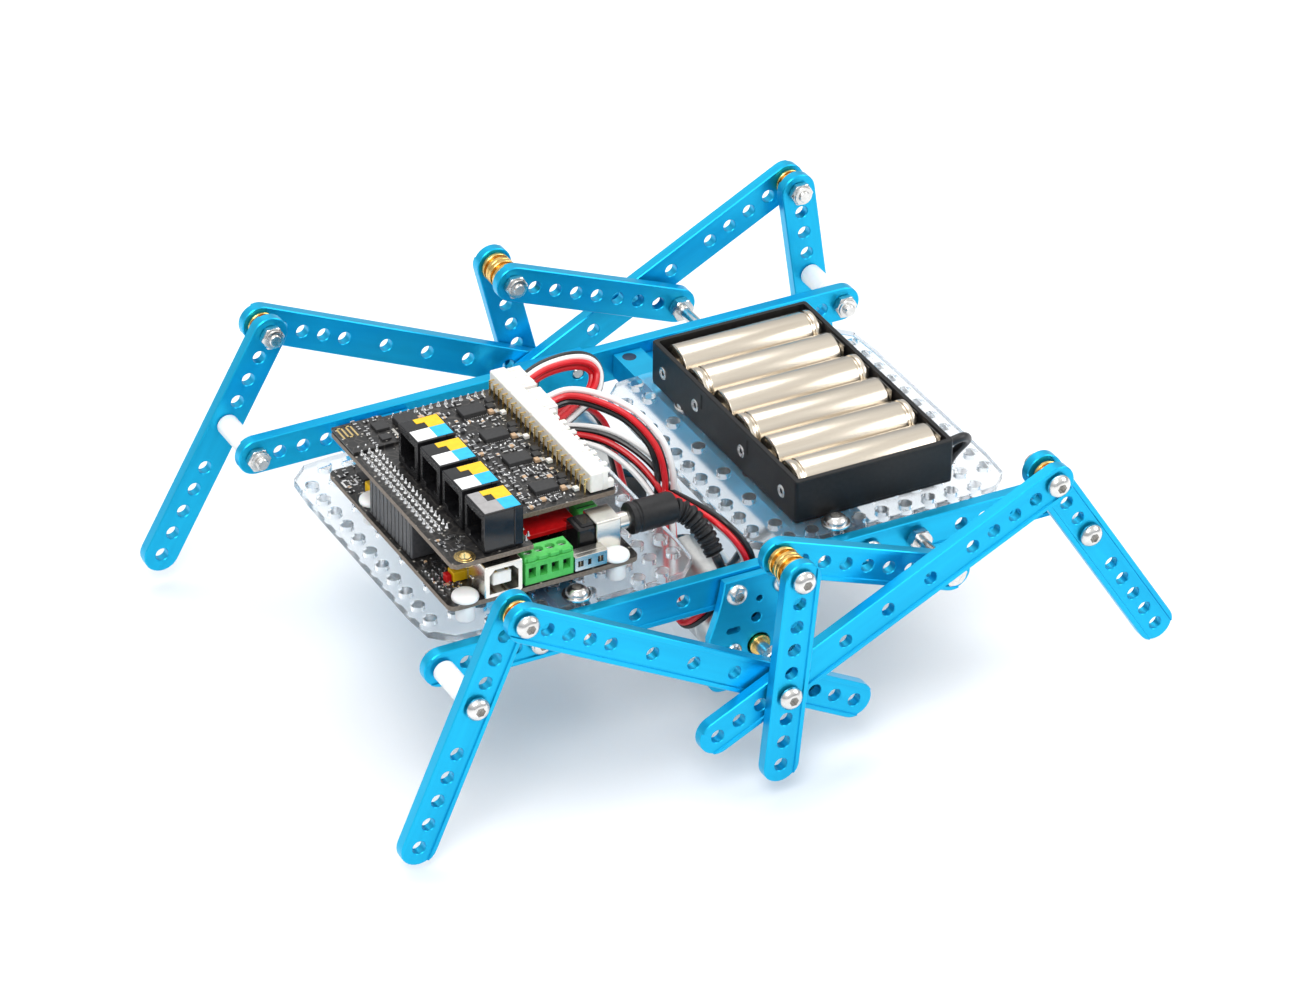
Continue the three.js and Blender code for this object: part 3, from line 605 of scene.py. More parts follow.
for side, out in SIDES:
    beam(f"side_beam_{side}", out, "chassis")
    mid_at = beam(f"mid_leg_{side}", out, f"mid_leg_{side}", MID_PIN)
    beam(f"rocker_{side}", out, f"rocker_{side}")
    pin = mid_at @ Vector((MID_PIN * PITCH * MM, 0, 0))
    for which in ("front", "rear"):
        beam(f"{which}_leg_{side}", out, f"{which}_leg_{side}")
        link = f"{which}_link_{side}"
        link_at, _ = beam_frame(link, out)
        hole = round((link_at.inverted() @ pin).x / MM / PITCH)
        beam(link, out, link, hole)
        stack(f"{which}_joint_{side}", out, f"{which}_leg_{side}",
            ("screw", [screw(LINK_OUT + THICK + GAP, LEG_OUT - NUT_TALL - 1),
            nut(LEG_OUT - GAP - NUT_TALL, NUT_TALL, True)], STEEL, "steel"),
            ("bush", [spacer(LEG_OUT + THICK + GAP, LINK_OUT - GAP, 4.6, 2)], BRASS,
            "joint_hardware"))
        pivot = f"{which}_leg_pivot_{side}"
        stack(pivot, out, "chassis", ("screw", [screw(LEG_OUT + THICK + GAP, -THICK - NUT_TALL - 2),
            nut(-THICK - GAP - NUT_TALL, NUT_TALL, True)], STEEL, "steel"))
        tube = f"{which}_leg_spacer_{side}"
        stack(tube, out, "chassis", ("nylon", [turned([(3.2, GAP), (3.5, GAP + 0.3), (3.5, 5.6),
            (3.2, 5.9)], 28), turned([(3.2, 6.1), (3.5, 6.4), (3.5, LEG_OUT - GAP - 0.3),
            (3.2, LEG_OUT - GAP)], 28)], NYLON, "white_nylon"))
    first, last = ROCKER_OUT + THICK + GAP, MID_OUT - GAP
    stack(f"mid_joint_{side}", out, f"rocker_{side}",
        ("screw", [screw(MID_OUT + THICK + GAP, ROCKER_OUT - NUT_TALL - 1),
        nut(ROCKER_OUT - GAP - NUT_TALL, NUT_TALL, True)], STEEL, "steel"),
        ("bush", [spacer(first, (first + last) / 2 - 0.1, 4.9, 2),
        spacer((first + last) / 2 + 0.1, last, 4.9, 2)], BRASS, "joint_hardware"))
    shaft = f"rocker_shaft_{side}"
    stack(shaft, out, "chassis", ("rod", [turned(thread(-THICK - NUT_TALL - 2, -THICK - GAP)
        + [(1.95, GAP), (1.95, 14)] + [(r, h + 14) for r, h in thread(0.3, 8)]
        + [(1.95, first + 1.2), (1.6, first + 1.45)]), nut(-THICK - GAP - NUT_TALL), nut(GAP),
        nut(ROCKER_OUT - GAP - NUT_TALL), nut(first, 1.0)], STEEL, "steel"))
cross_beam("cross_beam_front")
cross_beam("cross_beam_rear")


# ---------- drive ----------
DISC_OUT, DISC_TALL, DISC_RADIUS = 19.9, 2.9, 12
MOTOR_SCREW_X = 8.5


def curve(start, control, end, steps=6):
    return [tuple((1 - t) ** 2 * a + 2 * t * (1 - t) * b + t * t * c
        for a, b, c in zip(start, control, end)) for t in (i / steps for i in range(steps + 1))]


shaft_z = middle("motor_near").z
for side, out in SIDES:
    axis = outward(out, 0, shaft_z)
    outline = (curve((12, -5), (13, 4), (17, 14)) + curve((17, 30), (16, 34), (12, 34))
        + curve((-12, 34), (-16, 34), (-17, 30)) + curve((-17, 14), (-13, 4), (-12, -5)))
    holes = [(-8, 0, 2.1), (8, 0, 2.1), (0, 20, 3.8), (-8.5, 20, 1.6), (8.5, 20, 1.6),
        (0, 3.7, 1.1), (-1, 10.2, 1.7), (9, 9, 1.3), (-11.5, 26, 1.6), (11.5, 26, 1.6)]
    slot_cut = rectangle(-11.2, -6.4, 11.6, 13.8, 1.0)
    # local Y of an outward frame points down on the far side and up on the near side
    turn = Matrix.Diagonal((1, -1, 1, 1)) if out < 0 else Matrix.Identity(4)
    plate = Shape().add(sheet(outline, 0.3, 3.3, holes, 0.35, 0.25, (slot_cut,)), 0,
        outward(out, 0, 0) @ turn)
    piece(f"motor_bracket_{side}_plate", plate, [BLUE], "blue_anodised", (f"motor_bracket_{side}",))
    fixings = Shape()
    for x in (-8, 8):
        fixings.add(screw(3.3, -4, 3.6, 2.1, 1.9), 0, outward(out, x, 0))
        fixings.add(screw(3.3, 0.5, 2.6, 1.4, 1.5), 0, outward(out, x * MOTOR_SCREW_X / 8, shaft_z))
    for x in (-72, -56, 24, 40):
        fixings.add(screw(GAP, -4, 3.6, 2.1, 1.9), 0, outward(out, x, 0))
    piece(f"side_screws_{side}", fixings, [STEEL], "steel")

    gearbox = turned([(12.0, -21), (12.5, -20.6), (12.5, -14.2), (12.2, -14), (12.2, -13.6),
        (12.5, -13.4), (12.5, -7.2), (12.2, -7), (12.2, -6.6), (12.5, -6.4), (12.5, -0.9),
        (12, -0.4)], 40)
    can = turned([(7, -44.6), (10.6, -44.6), (11.8, -44), (11.8, -21.4), (11.4, -21)], 40)
    boss = turned([(3.4, -0.4), (3.4, 4.3), (3.1, 4.6)], 28)
    shaft_solid = turned([(2, 4.6), (2, DISC_OUT - 1), (1.8, DISC_OUT - 0.6)])
    cap = turned([(6, -50), (8.7, -49.6), (9, -49), (9, -44.6)], 32)
    unit = Shape().add(gearbox, 0, axis).add(can, 0, axis).add(shaft_solid, 0, axis)
    unit.add(boss, 2, axis).add(cap, 1, axis)
    piece(f"motor_{side}_unit", unit, [MOTOR_METAL, GLOSS_BLACK, BRASS], "motor_metal",
        (f"motor_{side}",))

    hub = turned([(4.6, 13.5), (5, 13.9), (5, DISC_OUT - 2), (6.2, DISC_OUT - 1.4),
        (6.2, DISC_OUT)], 32)
    mid_frame, _ = beam_frame(f"mid_leg_{side}", out)
    pin = (mid_frame @ Vector((MID_PIN * PITCH * MM, 0, 0)) - ORIGIN) / MM
    local_pin = axis.inverted() @ Vector((pin.x, out * HALF, pin.z))
    away = math.atan2(local_pin.y, local_pin.x)
    rounds = [(8 * math.cos(away + k * math.pi / 2), 8 * math.sin(away + k * math.pi / 2), 1.9)
        for k in (1, 2, 3)]
    disc = sheet(circle(DISC_RADIUS, 48), DISC_OUT, DISC_OUT + DISC_TALL, rounds, 0.35, 0.2)
    crank = Shape().add(hub, 0, axis).add(disc, 0, axis)
    crank.add(turned([(1.2, 0), (1.2, 0.7), (0.7, 0.7, 6), (0.7, 0.2, 6)], 12), 0,
        axis @ Matrix.Translation((0, 0, 16)) @ Matrix.Rotation(math.pi / 2, 4, "Y")
        @ Matrix.Translation((0, 0, 4.6)))
    pin_axis = outward(out, pin.x, pin.z)
    crank.add(screw(MID_OUT + THICK + GAP, DISC_OUT + 0.5, threaded=0.5), 0, pin_axis)
    piece(f"crank_{side}_disc", crank, [STEEL], "steel", (f"crank_{side}",), f"crank_{side}")


# ---------- deck plates ----------
POSTS = [(-91, -56.3), (-41, -56.3), (-92.5, 4), (-41, 21)]
DECK_SCREWS = {"front": [(-56, -60), (-72, 20), (-56, 20)], "rear": [(32, -60), (24, 20), (40, 20)]}
LEAD_HOLE = (80, -44, 3)
PLATE_HOLE = 2.2


def clear(x, y, taken, room=4.6):
    """True if (x, y) keeps its distance from every taken place."""
    return all(math.hypot(x - px, y - py) > room for px, py in taken)


def deck_plate(which, extra=()):
    node = f"deck_plate_{which}"
    x0, y0, z0, x1, y1, z1 = extent(node)
    cut = 8
    outline = [(x0 + cut, y0), (x1 - cut, y0), (x1, y0 + cut), (x1, y1 - cut), (x1 - cut, y1),
        (x0 + cut, y1), (x0, y1 - cut), (x0, y0 + cut)]
    # each corner is cut a little
    outline = [tuple(h + (n - h) * 0.12 for h, n in zip(here, outline[near % 8]))
        for i, here in enumerate(outline) for near in (i - 1, i + 1)]
    screws = DECK_SCREWS[which]
    taken = screws + (POSTS if which == "front" else [])
    holes = [(x, y, PLATE_HOLE) for x, y in screws] + list(extra)
    margin = 4.4
    blocked = [place[:2] for place in extra]
    across = [x0 + margin + (x1 - x0 - 2 * margin) * i / 10 for i in range(11)]
    rows = [y0 + margin + (y1 - y0 - 2 * margin) * i / 12 for i in range(13)]
    for i, x in enumerate(across):
        for j, y in enumerate(rows):
            at_side, at_end = i in (0, 10), j in (0, 12)
            second = j == 1 or (i == 1 and j % 2 == 1)
            near_right = which == "front" and i >= 7 and j <= 4
            inner = i % 2 == 0 and j % 2 == 0
            wanted = at_side != at_end or (not at_side and (second or near_right or inner))
            if wanted and clear(x, y, taken) and clear(x, y, blocked, 5.8):
                holes.append((x, y, PLATE_HOLE))
    shape = Shape().add(sheet(outline, z0, z1, holes, 0.2, 0.15))
    piece(node + "_sheet", shape, [ACRYLIC], "clear_acrylic", (node,))
    top = z1
    heads = Shape()
    for x, y in screws:
        at = Matrix.Translation((x, y, 0))
        heads.add(screw(top + 0.9, -2, 3.7, 2.2, 1.95), 0, at)
        heads.add(turned([(4.3, top + 0.05), (4.5, top + 0.2), (4.5, top + 0.75),
            (4.3, top + 0.9)]), 0, at)
    piece(f"deck_screws_{which}", heads, [STEEL], "steel")


deck_plate("front")
deck_plate("rear", (LEAD_HOLE,))


# ---------- main board ----------
BOARD_TOP, SHIELD_TOP = 14.6, 29.0
PLATED = 0.36       # length of a chip part's plated ends


def speckle(shape, area, height, count, taken=(), sizes=((1.6, 0.8), (1.0, 0.55), (2.0, 1.2))):
    """Small chip parts with plated ends, at random places in an area, clear of one another."""
    x0, x1, y0, y1 = area
    placed = []
    for _ in range(count * 6):
        if len(placed) >= count:
            break
        x, y = rng.uniform(x0, x1), rng.uniform(y0, y1)
        if any(abs(x - a) < (c + 2.2) / 2 and abs(y - b) < (d + 2.0) / 2
                for a, b, c, d in list(taken) + placed):
            continue
        length, width = rng.choice(sizes)
        if rng.random() < 0.5:
            length, width = width, length
        placed.append((x, y, length, width))
        tall = rng.choice((0.45, 0.6, 0.8))
        body = rng.choice((1, 1, 2, 3))
        lies = length > width
        long, short, centre, cross = (length, width, x, y) if lies else (width, length, y, x)

        def part(start, stop, reach, top, edge, slot):
            ends = start, stop
            sides = cross - short / 2 - reach, cross + short / 2 + reach
            shape.block(*(ends + sides if lies else sides + ends), height, height + top, edge, slot)

        part(centre - long / 2 + PLATED, centre + long / 2 - PLATED, 0, tall, 0.06, body)
        for s in (-1, 1):
            c = centre + s * (long / 2 - PLATED / 2)
            part(c - PLATED / 2 - 0.12, c + PLATED / 2 + 0.12, 0.05, tall * 0.85, 0.05, 0)


def board_sheet(node, outline, low, high, holes):
    """A circuit board; the faces of its rim, which are the first ones, get the edge's material."""
    board = Shape().add(sheet(outline, low, high, holes, 0.08, 0.05))
    rim = 3 * len(outline)
    board.slots[:rim] = [1] * rim
    piece(node + "_sheet", board, [BOARD, BOARD_EDGE], "circuit_board", (node,))


def package(shape, x, y, length, width, height, tall, pins, legs=0.9):
    """A chip of that body size along X, with pins on its two long sides."""
    shape.block(x - length / 2, x + length / 2, y - width / 2, y + width / 2, height + 0.15,
        height + tall, 0.15, 1)
    for k in range(pins):
        px = x - length / 2 + (k + 0.5) * length / pins
        for s in (-1, 1):
            py = y + s * (width / 2 + legs / 2)
            shape.block(px - 0.16, px + 0.16, py - legs / 2, py + legs / 2, height, height + 0.3,
                0.05)


x0, y0, z0, x1, y1, z1 = extent("main_board")
board_sheet("main_board", rectangle(x0, x1, y0, y1, 2.5), 13, BOARD_TOP,
    [(x, y, 1.8) for x, y in POSTS])

posts, nylon_heads = Shape(), Shape()
for x, y in POSTS:
    at = Matrix.Translation((x, y, 0))
    posts.add(turned([(2.7, 7.5), (3, 7.8), (3, 12.7), (2.7, 12.95)], 24), 0, at)
    nylon_heads.add(turned([(1.7, 8), (1.7, 14.7), (4.1, 14.7), (4.2, 15.1), (4.0, 15.9),
        (3.2, 16.6), (2.0, 16.9), (0.8, 17.0)], 32), 0, at)
piece("board_posts", posts, [NYLON], "white_nylon")
piece("board_screws", nylon_heads, [NYLON], "white_nylon")

small = Shape()
speckle(small, (-96, -89, -53, -34), BOARD_TOP, 30, [(-91, -56, 7, 7)])
speckle(small, (-88, -75, -43, -33), BOARD_TOP, 16)
speckle(small, (-96, -86, 7, 24), BOARD_TOP, 16, [(-90, 12, 5, 4)])
speckle(small, (-45, -36, -42, 16), BOARD_TOP, 26)
package(small, -88, 17, 5, 5, BOARD_TOP, 1.0, 6, 0.5)
for k in range(6):
    for row in range(4):
        small.add(turned([(0.45, BOARD_TOP), (0.5, BOARD_TOP + 0.15), (0.28, BOARD_TOP + 0.8),
            (0.2, BOARD_TOP + 1.0)], 8), 0, Matrix.Translation((-95.5 + 2.0 * row,
            -50.5 + 2.3 * k - 0.4 * row, 0)))
piece("main_board_parts", small, [SOLDER, CHIP_BLACK, BEIGE, HEADER_GREY], "circuit_board")

bits = Shape()
bits.block(-90.5, -86, -47.5, -43.5, BOARD_TOP, 17.8, 0.2)
bits.block(-92.5, -90.8, -47, -44.5, BOARD_TOP, 17.2, 0.15, 1)
bits.block(-92, -88.2, 5.5, 10.5, BOARD_TOP, 18.0, 0.2)
for k in range(2):
    bits.block(-89.6 + 2.2 * k, -89 + 2.2 * k, -46, -45.4, 17.6, 20.2, 0.08, 2)
piece("main_board_jumpers", bits, [YELLOW, RED_BOARD, GOLD], "circuit_board")


def meander(x0, y0, step, reach, turns, width, height, tall):
    """A flat antenna track that runs to and fro, as thin plated bars."""
    shape = Shape()
    for k in range(turns):
        a = k * step
        shape.block(x0 + a, x0 + a + width, y0, y0 + reach, height, height + tall, 0.02)
        end = y0 + reach - width if k % 2 == 0 else y0
        if k < turns - 1:
            shape.block(x0 + a, x0 + a + step + width, end, end + width, height, height + tall,
                0.02)
    return shape


white_antenna = meander(-96.6, 14.5, 2.1, 4.2, 5, 0.7, BOARD_TOP - 0.02, 0.09)
piece("main_board_antenna", white_antenna, [WHITE_PRINT], "circuit_board")

terminal = Shape()
x0, x1 = -72.5, -56.5
openings = [rectangle(x0 + 1.1 + 3.8 * k, x0 + 3.5 + 3.8 * k, 17.2, 20.6) for k in range(4)]
terminal.add(sheet(rectangle(x0, x1, 14.8, 22.4), -59, -56, (), 0.15, 0.1, openings), 0, IN_XZ)
terminal.block(x0, x1, -56.05, -51.8, 14.8, 22.4, 0.15)
terminal.add(sheet(rectangle(x0, x1, -58.4, -52), 22.3, 24.1,
    [(x0 + 2.3 + 3.8 * k, -55.2, 1.45) for k in range(4)], 0.3, 0.15), 0)
for k in range(4):
    cx = x0 + 2.3 + 3.8 * k
    terminal.block(cx - 1.5, cx + 1.5, -58.9, -58.3, 22.5, 23.9, 0.25)
    terminal.add(turned([(1.35, 22.4), (1.35, 23.1), (1.15, 23.25)], 16), 1,
        Matrix.Translation((cx, -55.2, 0)))
    # Painted shade: a dark strip on each screw head for the shade in its slot, and a dark sheet
    # behind each wire opening for the shade inside it.
    terminal.block(cx - 1.1, cx + 1.1, -55.35, -55.05, 23.2, 23.32, 0.02, 2)
    terminal.block(cx - 1.1, cx + 1.1, -56.3, -56.06, 17.3, 20.4, 0.03, 2)
    terminal.block(cx - 0.25, cx + 0.25, -52.5, -52, 13, 14.9, 0.05, 1)
piece("green_terminal", terminal, [GREEN, SOLDER, PAINTED_HOLLOW_SHADE], "circuit_board")

usb = Shape()
x0, y0, z0, x1, y1, z1 = extent("usb_socket")
mouth = rectangle(x0 + 1.5, x1 - 1.5, z0 + 1.4, z1 - 1.4)
mouth = [mouth[0], mouth[1], (mouth[1][0], mouth[2][1] - 1.8), (mouth[2][0] - 1.8, mouth[2][1]),
    (mouth[3][0] + 1.8, mouth[3][1]), (mouth[0][0], mouth[3][1] - 1.8)]
usb.add(sheet(rectangle(x0, x1, z0, z1, 0.8), y0, y1 - 5, (), 0.3, 0.1, (mouth,)), 0, IN_XZ)
usb.block(x0, x1, y1 - 5.1, y1, z0, z1, 0.3)
usb.block(x0 + 3.2, x1 - 3.2, y0 + 1.2, y1 - 5, z0 + 3.2, z1 - 3.6, 0.3, 1)
for x in (x0 + 3.9, x1 - 4.9):
    for z in (z1 - 3.62, z0 + 3.02):
        usb.block(x, x + 1.0, y0 + 1.8, y0 + 7, z, z + 0.2, 0.05, 2)
for k in (0, 1):
    usb.block(x0 - 0.35 + k * (x1 - x0 - 0.2), x0 + 0.55 + k * (x1 - x0 - 0.2), y0 + 8, y0 + 10,
        13.1, 18, 0.1)
# A dark strip across the top of the shell, coloured with painted shade.
usb.block(x0 + 3.5, x1 - 3.5, y0 + 2.2, y0 + 2.9, z1 - 0.12, z1 + 0.02, 0.02, 3)
piece("usb_socket_shell", usb, [TIN, WHITE, GOLD, PAINTED_HOLLOW_SHADE], "socket_metal", ("usb_socket",))

jack = Shape()
x0, y0, z0, x1, y1, z1 = extent("power_jack")
jack.block(x0, -46.2, y0 + 0.4, y1 - 0.4, z0, z1 - 0.9, 0.5, 1)
jack.block(-50.5, -46, y0 + 1.4, y1 - 1.4, z1 - 2, z1 - 0.1, 0.6, 1)
outline = rectangle(-z1, -z0, y0, y1, 0.6)
jack.add(sheet(outline, -46.1, x1, [(-21.5, -49, 3.2)], 0.2, 0.3), 0, along_x(0, 0, 0))
jack.add(turned([(1.0, -46.5), (1.0, -39), (0.7, -38.6)], 16), 0, along_x(0, -49, 21.5))
jack.block(-46.6, -45.9, y0 - 0.1, y1 + 0.1, z0, z0 + 3, 0.1)
piece("power_jack_shell", jack, [TIN, GLOSS_BLACK], "socket_metal", ("power_jack",))

strip = Shape()
slots = [rectangle(-55 + 3.3 * k, -53.2 + 3.3 * k - 0.7 * (k == 1), 16.3, 18.3) for k in range(3)]
strip.add(sheet(rectangle(-56, -45.2, 14.9, 19.8), -59, -57, (), 0.12, 0.1, slots), 0, IN_XZ)
strip.block(-56, -45.2, -57.05, -54.2, 14.9, 19.8, 0.12)
# A dark sheet in each slot: painted shade for its inside.
for k in range(3):
    strip.block(-54.9 + 3.3 * k, -53.4 + 3.3 * k, -57.2, -57.04, 16.4, 18.2, 0.02, 1)
piece("low_port_strip", strip, [TIN, PAINTED_HOLLOW_SHADE], "socket_metal")

red = Shape()
red.add(sheet(rectangle(-72, -46.5, -43, -12, 1), 19.2, 20.6, [(-69.5, -40, 1.3), (-49, -40, 1.3)],
    0.08, 0.05), 5)
red.block(-71, -68, -36, -16, 14.8, 19.2, 0.2, 1)
red.block(-51, -48, -36, -16, 14.8, 19.2, 0.2, 1)
speckle(red, (-67, -52, -41, -20), 20.6, 14)
red.block(-45.5, -38.5, -42.5, -34, 14.8, 22.4, 0.3, 4)
red.block(-45, -39, -38.6, -38.2, 22.3, 22.5, 0.03, 1)
piece("driver_module", red, [SOLDER, CHIP_BLACK, BEIGE, HEADER_GREY, GREEN, RED_BOARD],
    "circuit_board")


# ---------- shield board ----------
x0, y0, z0, x1, y1, z1 = extent("shield_board")
outline = [(x0 + 1.5, y0), (-70, y0), (-70, -43.4), (x1 - 1, -43.4), (x1, -42.4), (x1, y1 - 1),
    (x1 - 1, y1), (x0 + 1.5, y1), (x0, y1 - 1.5), (x0, y0 + 1.5)]
board_sheet("shield_board", outline, SHIELD_TOP - 1.6, SHIELD_TOP, [(*POSTS[0], 1.8)])
eyelet = Shape()
for z in (SHIELD_TOP, SHIELD_TOP - 1.75):
    eyelet.add(sheet(circle(3.3, 32, *POSTS[0]), z, z + 0.15, [(*POSTS[0], 1.85)], 0.05, 0.04))
eyelet.add(sheet(circle(2.3, 32, *POSTS[0]), 27.3, 29.3, [(*POSTS[0], 1.7)], 0.05, 0.04))
piece("shield_eyelet", eyelet, [GOLD], "circuit_board")

header = Shape()
header.block(-96.2, -88.6, -31, -2, 14.9, 27.3, 0.25)
for k in range(11):
    y = -30 + 2.6 * k
    header.block(-96.34, -96.1, y, y + 0.5, 15.4, 26.8, 0.05, 1)
for k in range(2):
    header.block(-95.6 + 3.4 * k, -92.8 + 3.4 * k, -30.6, -2.4, 14.6, 15.1, 0.1, 1)
piece("stacking_header", header, [HEADER_GREY, GLOSS_BLACK], "black_plastic")

pins = Shape()


def solder_pin(x, y, height=SHIELD_TOP, size=1.0):
    pins.add(turned([(0.85 * size, height), (0.75 * size, height + 0.2),
        (0.42 * size, height + 0.6), (0.33 * size, height + 1.3), (0.2 * size, height + 1.45)], 10),
        0, Matrix.Translation((x, y, 0)))


for row in range(3):
    for k in range(21):
        solder_pin(-93.6 + 2.54 * row, -39.5 + 2.54 * k)
for k in range(13):
    solder_pin(-76 + 2.54 * k, 23.6, size=0.9)
for socket in range(4):
    y0 = -58.2 + 15 * socket
    for k in range(6):
        solder_pin(-70.9 + 1.7 * (k % 2), y0 + 2 + 1.9 * k, size=0.75)
for k in range(44):
    y, drop = -42 + 1.52 * k, 0.9 * (k % 2)
    pins.block(-44.3 + drop, -43.85 + drop, y, y + 0.45, SHIELD_TOP, 34.3 - 2 * drop, 0.08, 1)
    pins.block(-44.3 + drop, -42.4, y, y + 0.45, 33.9 - 2 * drop, 34.35 - 2 * drop, 0.08, 1)
piece("shield_pins", pins, [SOLDER, GOLD], "circuit_board")

parts = Shape()
IC_Y = (-33.3, -15.7, -0.2, 15.4)
busy = []
for y in IC_Y:
    package(parts, -53.6, y, 8.0, 5.3, SHIELD_TOP, 1.5, 12)
    busy.append((-53.6, y, 9, 7.6))
    for dx, dy in ((-47.2, -0.2), (-46.0, 2.8)):
        parts.block(dx - 1.3, dx + 1.1, y + dy - 1.3, y + dy + 1.3, SHIELD_TOP, SHIELD_TOP + 1.2,
            0.12, 1)
        busy.append((dx, y + dy, 3, 3))
        for s in (-1, 1):
            parts.block(dx - 1.2, dx + 1.0, y + dy + s * 1.5 - 0.25, y + dy + s * 1.5 + 0.25,
                SHIELD_TOP, SHIELD_TOP + 0.4, 0.05)
    for k in range(3):
        x, dy = -48.4 + 1.6 * k, -2.9 - 1.0 * k
        parts.block(x - 0.8, x + 0.8, y + dy - 0.9, y + dy + 0.9, SHIELD_TOP, SHIELD_TOP + 1.1, 0.1,
            (2, 0, 4)[k])
        busy.append((x, y + dy, 2.2, 2.4))
    for k in range(8):
        x = -60.5 + 1.6 * k
        parts.add(turned([(0.5, SHIELD_TOP), (0.45, SHIELD_TOP + 0.3), (0.2, SHIELD_TOP + 0.55)],
            8), 0, Matrix.Translation((x, y - 5.6 + 0.3 * (k % 2), 0)))
speckle(parts, (-69.0, -45.6, -42, 22), SHIELD_TOP, 150, busy, ((2.0, 1.2), (1.4, 0.9), (2.4, 1.5)))
speckle(parts, (-95, -87, -53, -42), SHIELD_TOP, 12)
speckle(parts, (-85, -72, -43.8, -43.2), SHIELD_TOP, 3)
piece("shield_parts", parts, [SOLDER, CHIP_BLACK, BEIGE, HEADER_GREY, WHITE], "circuit_board")

radio = Shape()
radio.add(sheet(rectangle(-96.2, -79.5, 9, 25.2, 0.4), SHIELD_TOP, SHIELD_TOP + 1.0, (), 0.08), 5)
radio.block(-85, -80.5, 16.5, 21, SHIELD_TOP + 1, SHIELD_TOP + 1.9, 0.12, 1)
radio.block(-85.6, -82.4, 11, 14, SHIELD_TOP + 1, SHIELD_TOP + 1.7, 0.12, 1)
radio.block(-80.8, -79.9, 11, 15, SHIELD_TOP + 1, SHIELD_TOP + 2.0, 0.12, 4)
speckle(radio, (-89, -80.5, 10, 24.5), SHIELD_TOP + 1, 18, [(-82.7, 18.7, 5, 5), (-84, 12.5, 4, 4)])
piece("wireless_module", radio, [SOLDER, CHIP_BLACK, BEIGE, HEADER_GREY, TIN, BOARD],
    "circuit_board")
gold = meander(-95.4, 17.5, 1.5, 6.4, 4, 0.6, SHIELD_TOP + 0.98, 0.08)
piece("wireless_antenna", gold, [GOLD], "circuit_board")
big = Shape().block(-77.5, -70.5, 15.6, 21.5, SHIELD_TOP + 0.1, SHIELD_TOP + 2.2, 0.2)
piece("shield_controller", big, [CHIP_BLACK], "circuit_board")

for number in range(1, 5):
    node = f"signal_socket_{number}"
    x0, y0, z0, x1, y1, z1 = extent(node)
    body = Shape()
    opening = [(y0 + 1.7, z0 + 3.2), (y0 + 4.0, z0 + 3.2), (y0 + 4.0, z0 + 1.7),
        (y1 - 4.0, z0 + 1.7), (y1 - 4.0, z0 + 3.2), (y1 - 1.7, z0 + 3.2), (y1 - 1.7, z1 - 2.4),
        (y0 + 1.7, z1 - 2.4)]
    body.add(sheet(rectangle(y0, y1, z0, z1, 0.4), x0, x1 - 3, (), 0.25, 0.1, (opening,)), 0, IN_YZ)
    body.block(x1 - 3.05, x1, y0, y1, z0, z1, 0.3)
    body.block(x0 + 1.4, x1 - 2, y0 + 0.1, y1 - 0.1, z0 - 0.2, z0 + 0.6, 0.1)
    for k in range(6):
        y = y0 + 3.4 + 1.24 * k
        body.add(swept([Vector((x0 + 1.2, y, z1 - 3.0)), Vector((x0 + 6, y, z1 - 5.2)),
            Vector((x1 - 3.2, y, z1 - 6.6))], 0.22, 6), 1)
    my, mx = (y0 + y1) / 2, (x0 + x1) / 2 + 0.6
    corner = 0.6
    labels = [(mx, x1 - corner, my, y1 - corner, 2),
        (mx - 2.6, mx, y1 - corner - 2.6, y1 - corner, 2),
        (mx, x1 - corner, y0 + corner, my - 0.05, 3),
        (x0 + corner, mx - 0.05, y0 + corner, my - 0.05, 4)]
    if number == 1:
        labels.append((x0 + corner, mx - 2.7, my, y1 - corner, 4))
    for *area, slot in labels:
        body.block(*area, z1 - 0.05, z1 + 0.12, 0.04, slot)
    shade = GREY_PRINT if number == 1 else WHITE_PRINT
    piece(node + "_body", body, [GLOSS_BLACK, GOLD, YELLOW, CYAN, shade], "black_plastic", (node,))

# White right-angle headers: two hold plugs, the others are open with their pins showing.
x0, _, z0, x1, _, z1 = extent("motor_connectors")
rows = [(-42.5, -29.5), (-29.2, -16.2), (-15.9, -2.9), (-2.5, 11.4), (11.7, 25.3)]
FIRST_PLUGGED = 3
white = Shape()
for number, (y0, y1) in enumerate(rows):
    if number >= FIRST_PLUGGED:
        white.block(x0, x1 - 3.2, y0, y1, z0, z1, 0.35)
        white.block(x1 - 3.6, x1 + 1.6, y0 + 0.7, y1 - 0.7, z0 + 0.7, z1 - 0.4, 0.35)
        for k in range(3):
            y = y0 + 2.4 + (y1 - y0 - 4.8) * k / 2
            white.block(x1 - 3.0, x1 + 1.2, y - 0.8, y + 0.8, z1 - 0.5, z1 + 0.1, 0.2)
    else:
        white.block(x0, x0 + 4.2, y0, y1, z0, z1, 0.3)
        white.add(sheet(rectangle(y0, y1, z0, z1, 0.3, 2), x0 + 4.1, x1 - 2.4, (), 0.15, 0.1,
            (rectangle(y0 + 0.9, y1 - 0.9, z0 + 0.9, z1 - 0.9),)), 0, IN_YZ)
        for k in range(4):
            y = y0 + 0.2 + (y1 - y0 - 2.6) * k / 3
            white.block(x1 - 2.5, x1 - 0.2 - 0.9 * (k % 2), y, y + 2.2, z0, z0 + 2.6, 0.25)
            white.block(x1 - 2.5, x1 - 0.6 - 0.8 * ((k + 1) % 2), y, y + 1.9, z1 - 1.0, z1, 0.2)
        for k in range(5):
            y = y0 + 2.2 + 2.2 * k
            white.block(x0 + 4, x1 - 1.6, y - 0.3, y + 0.3, z0 + 3, z0 + 3.6, 0.08, 1)
piece("motor_connector_row", white, [WHITE, SOLDER], "white_plastic", ("motor_connectors",))


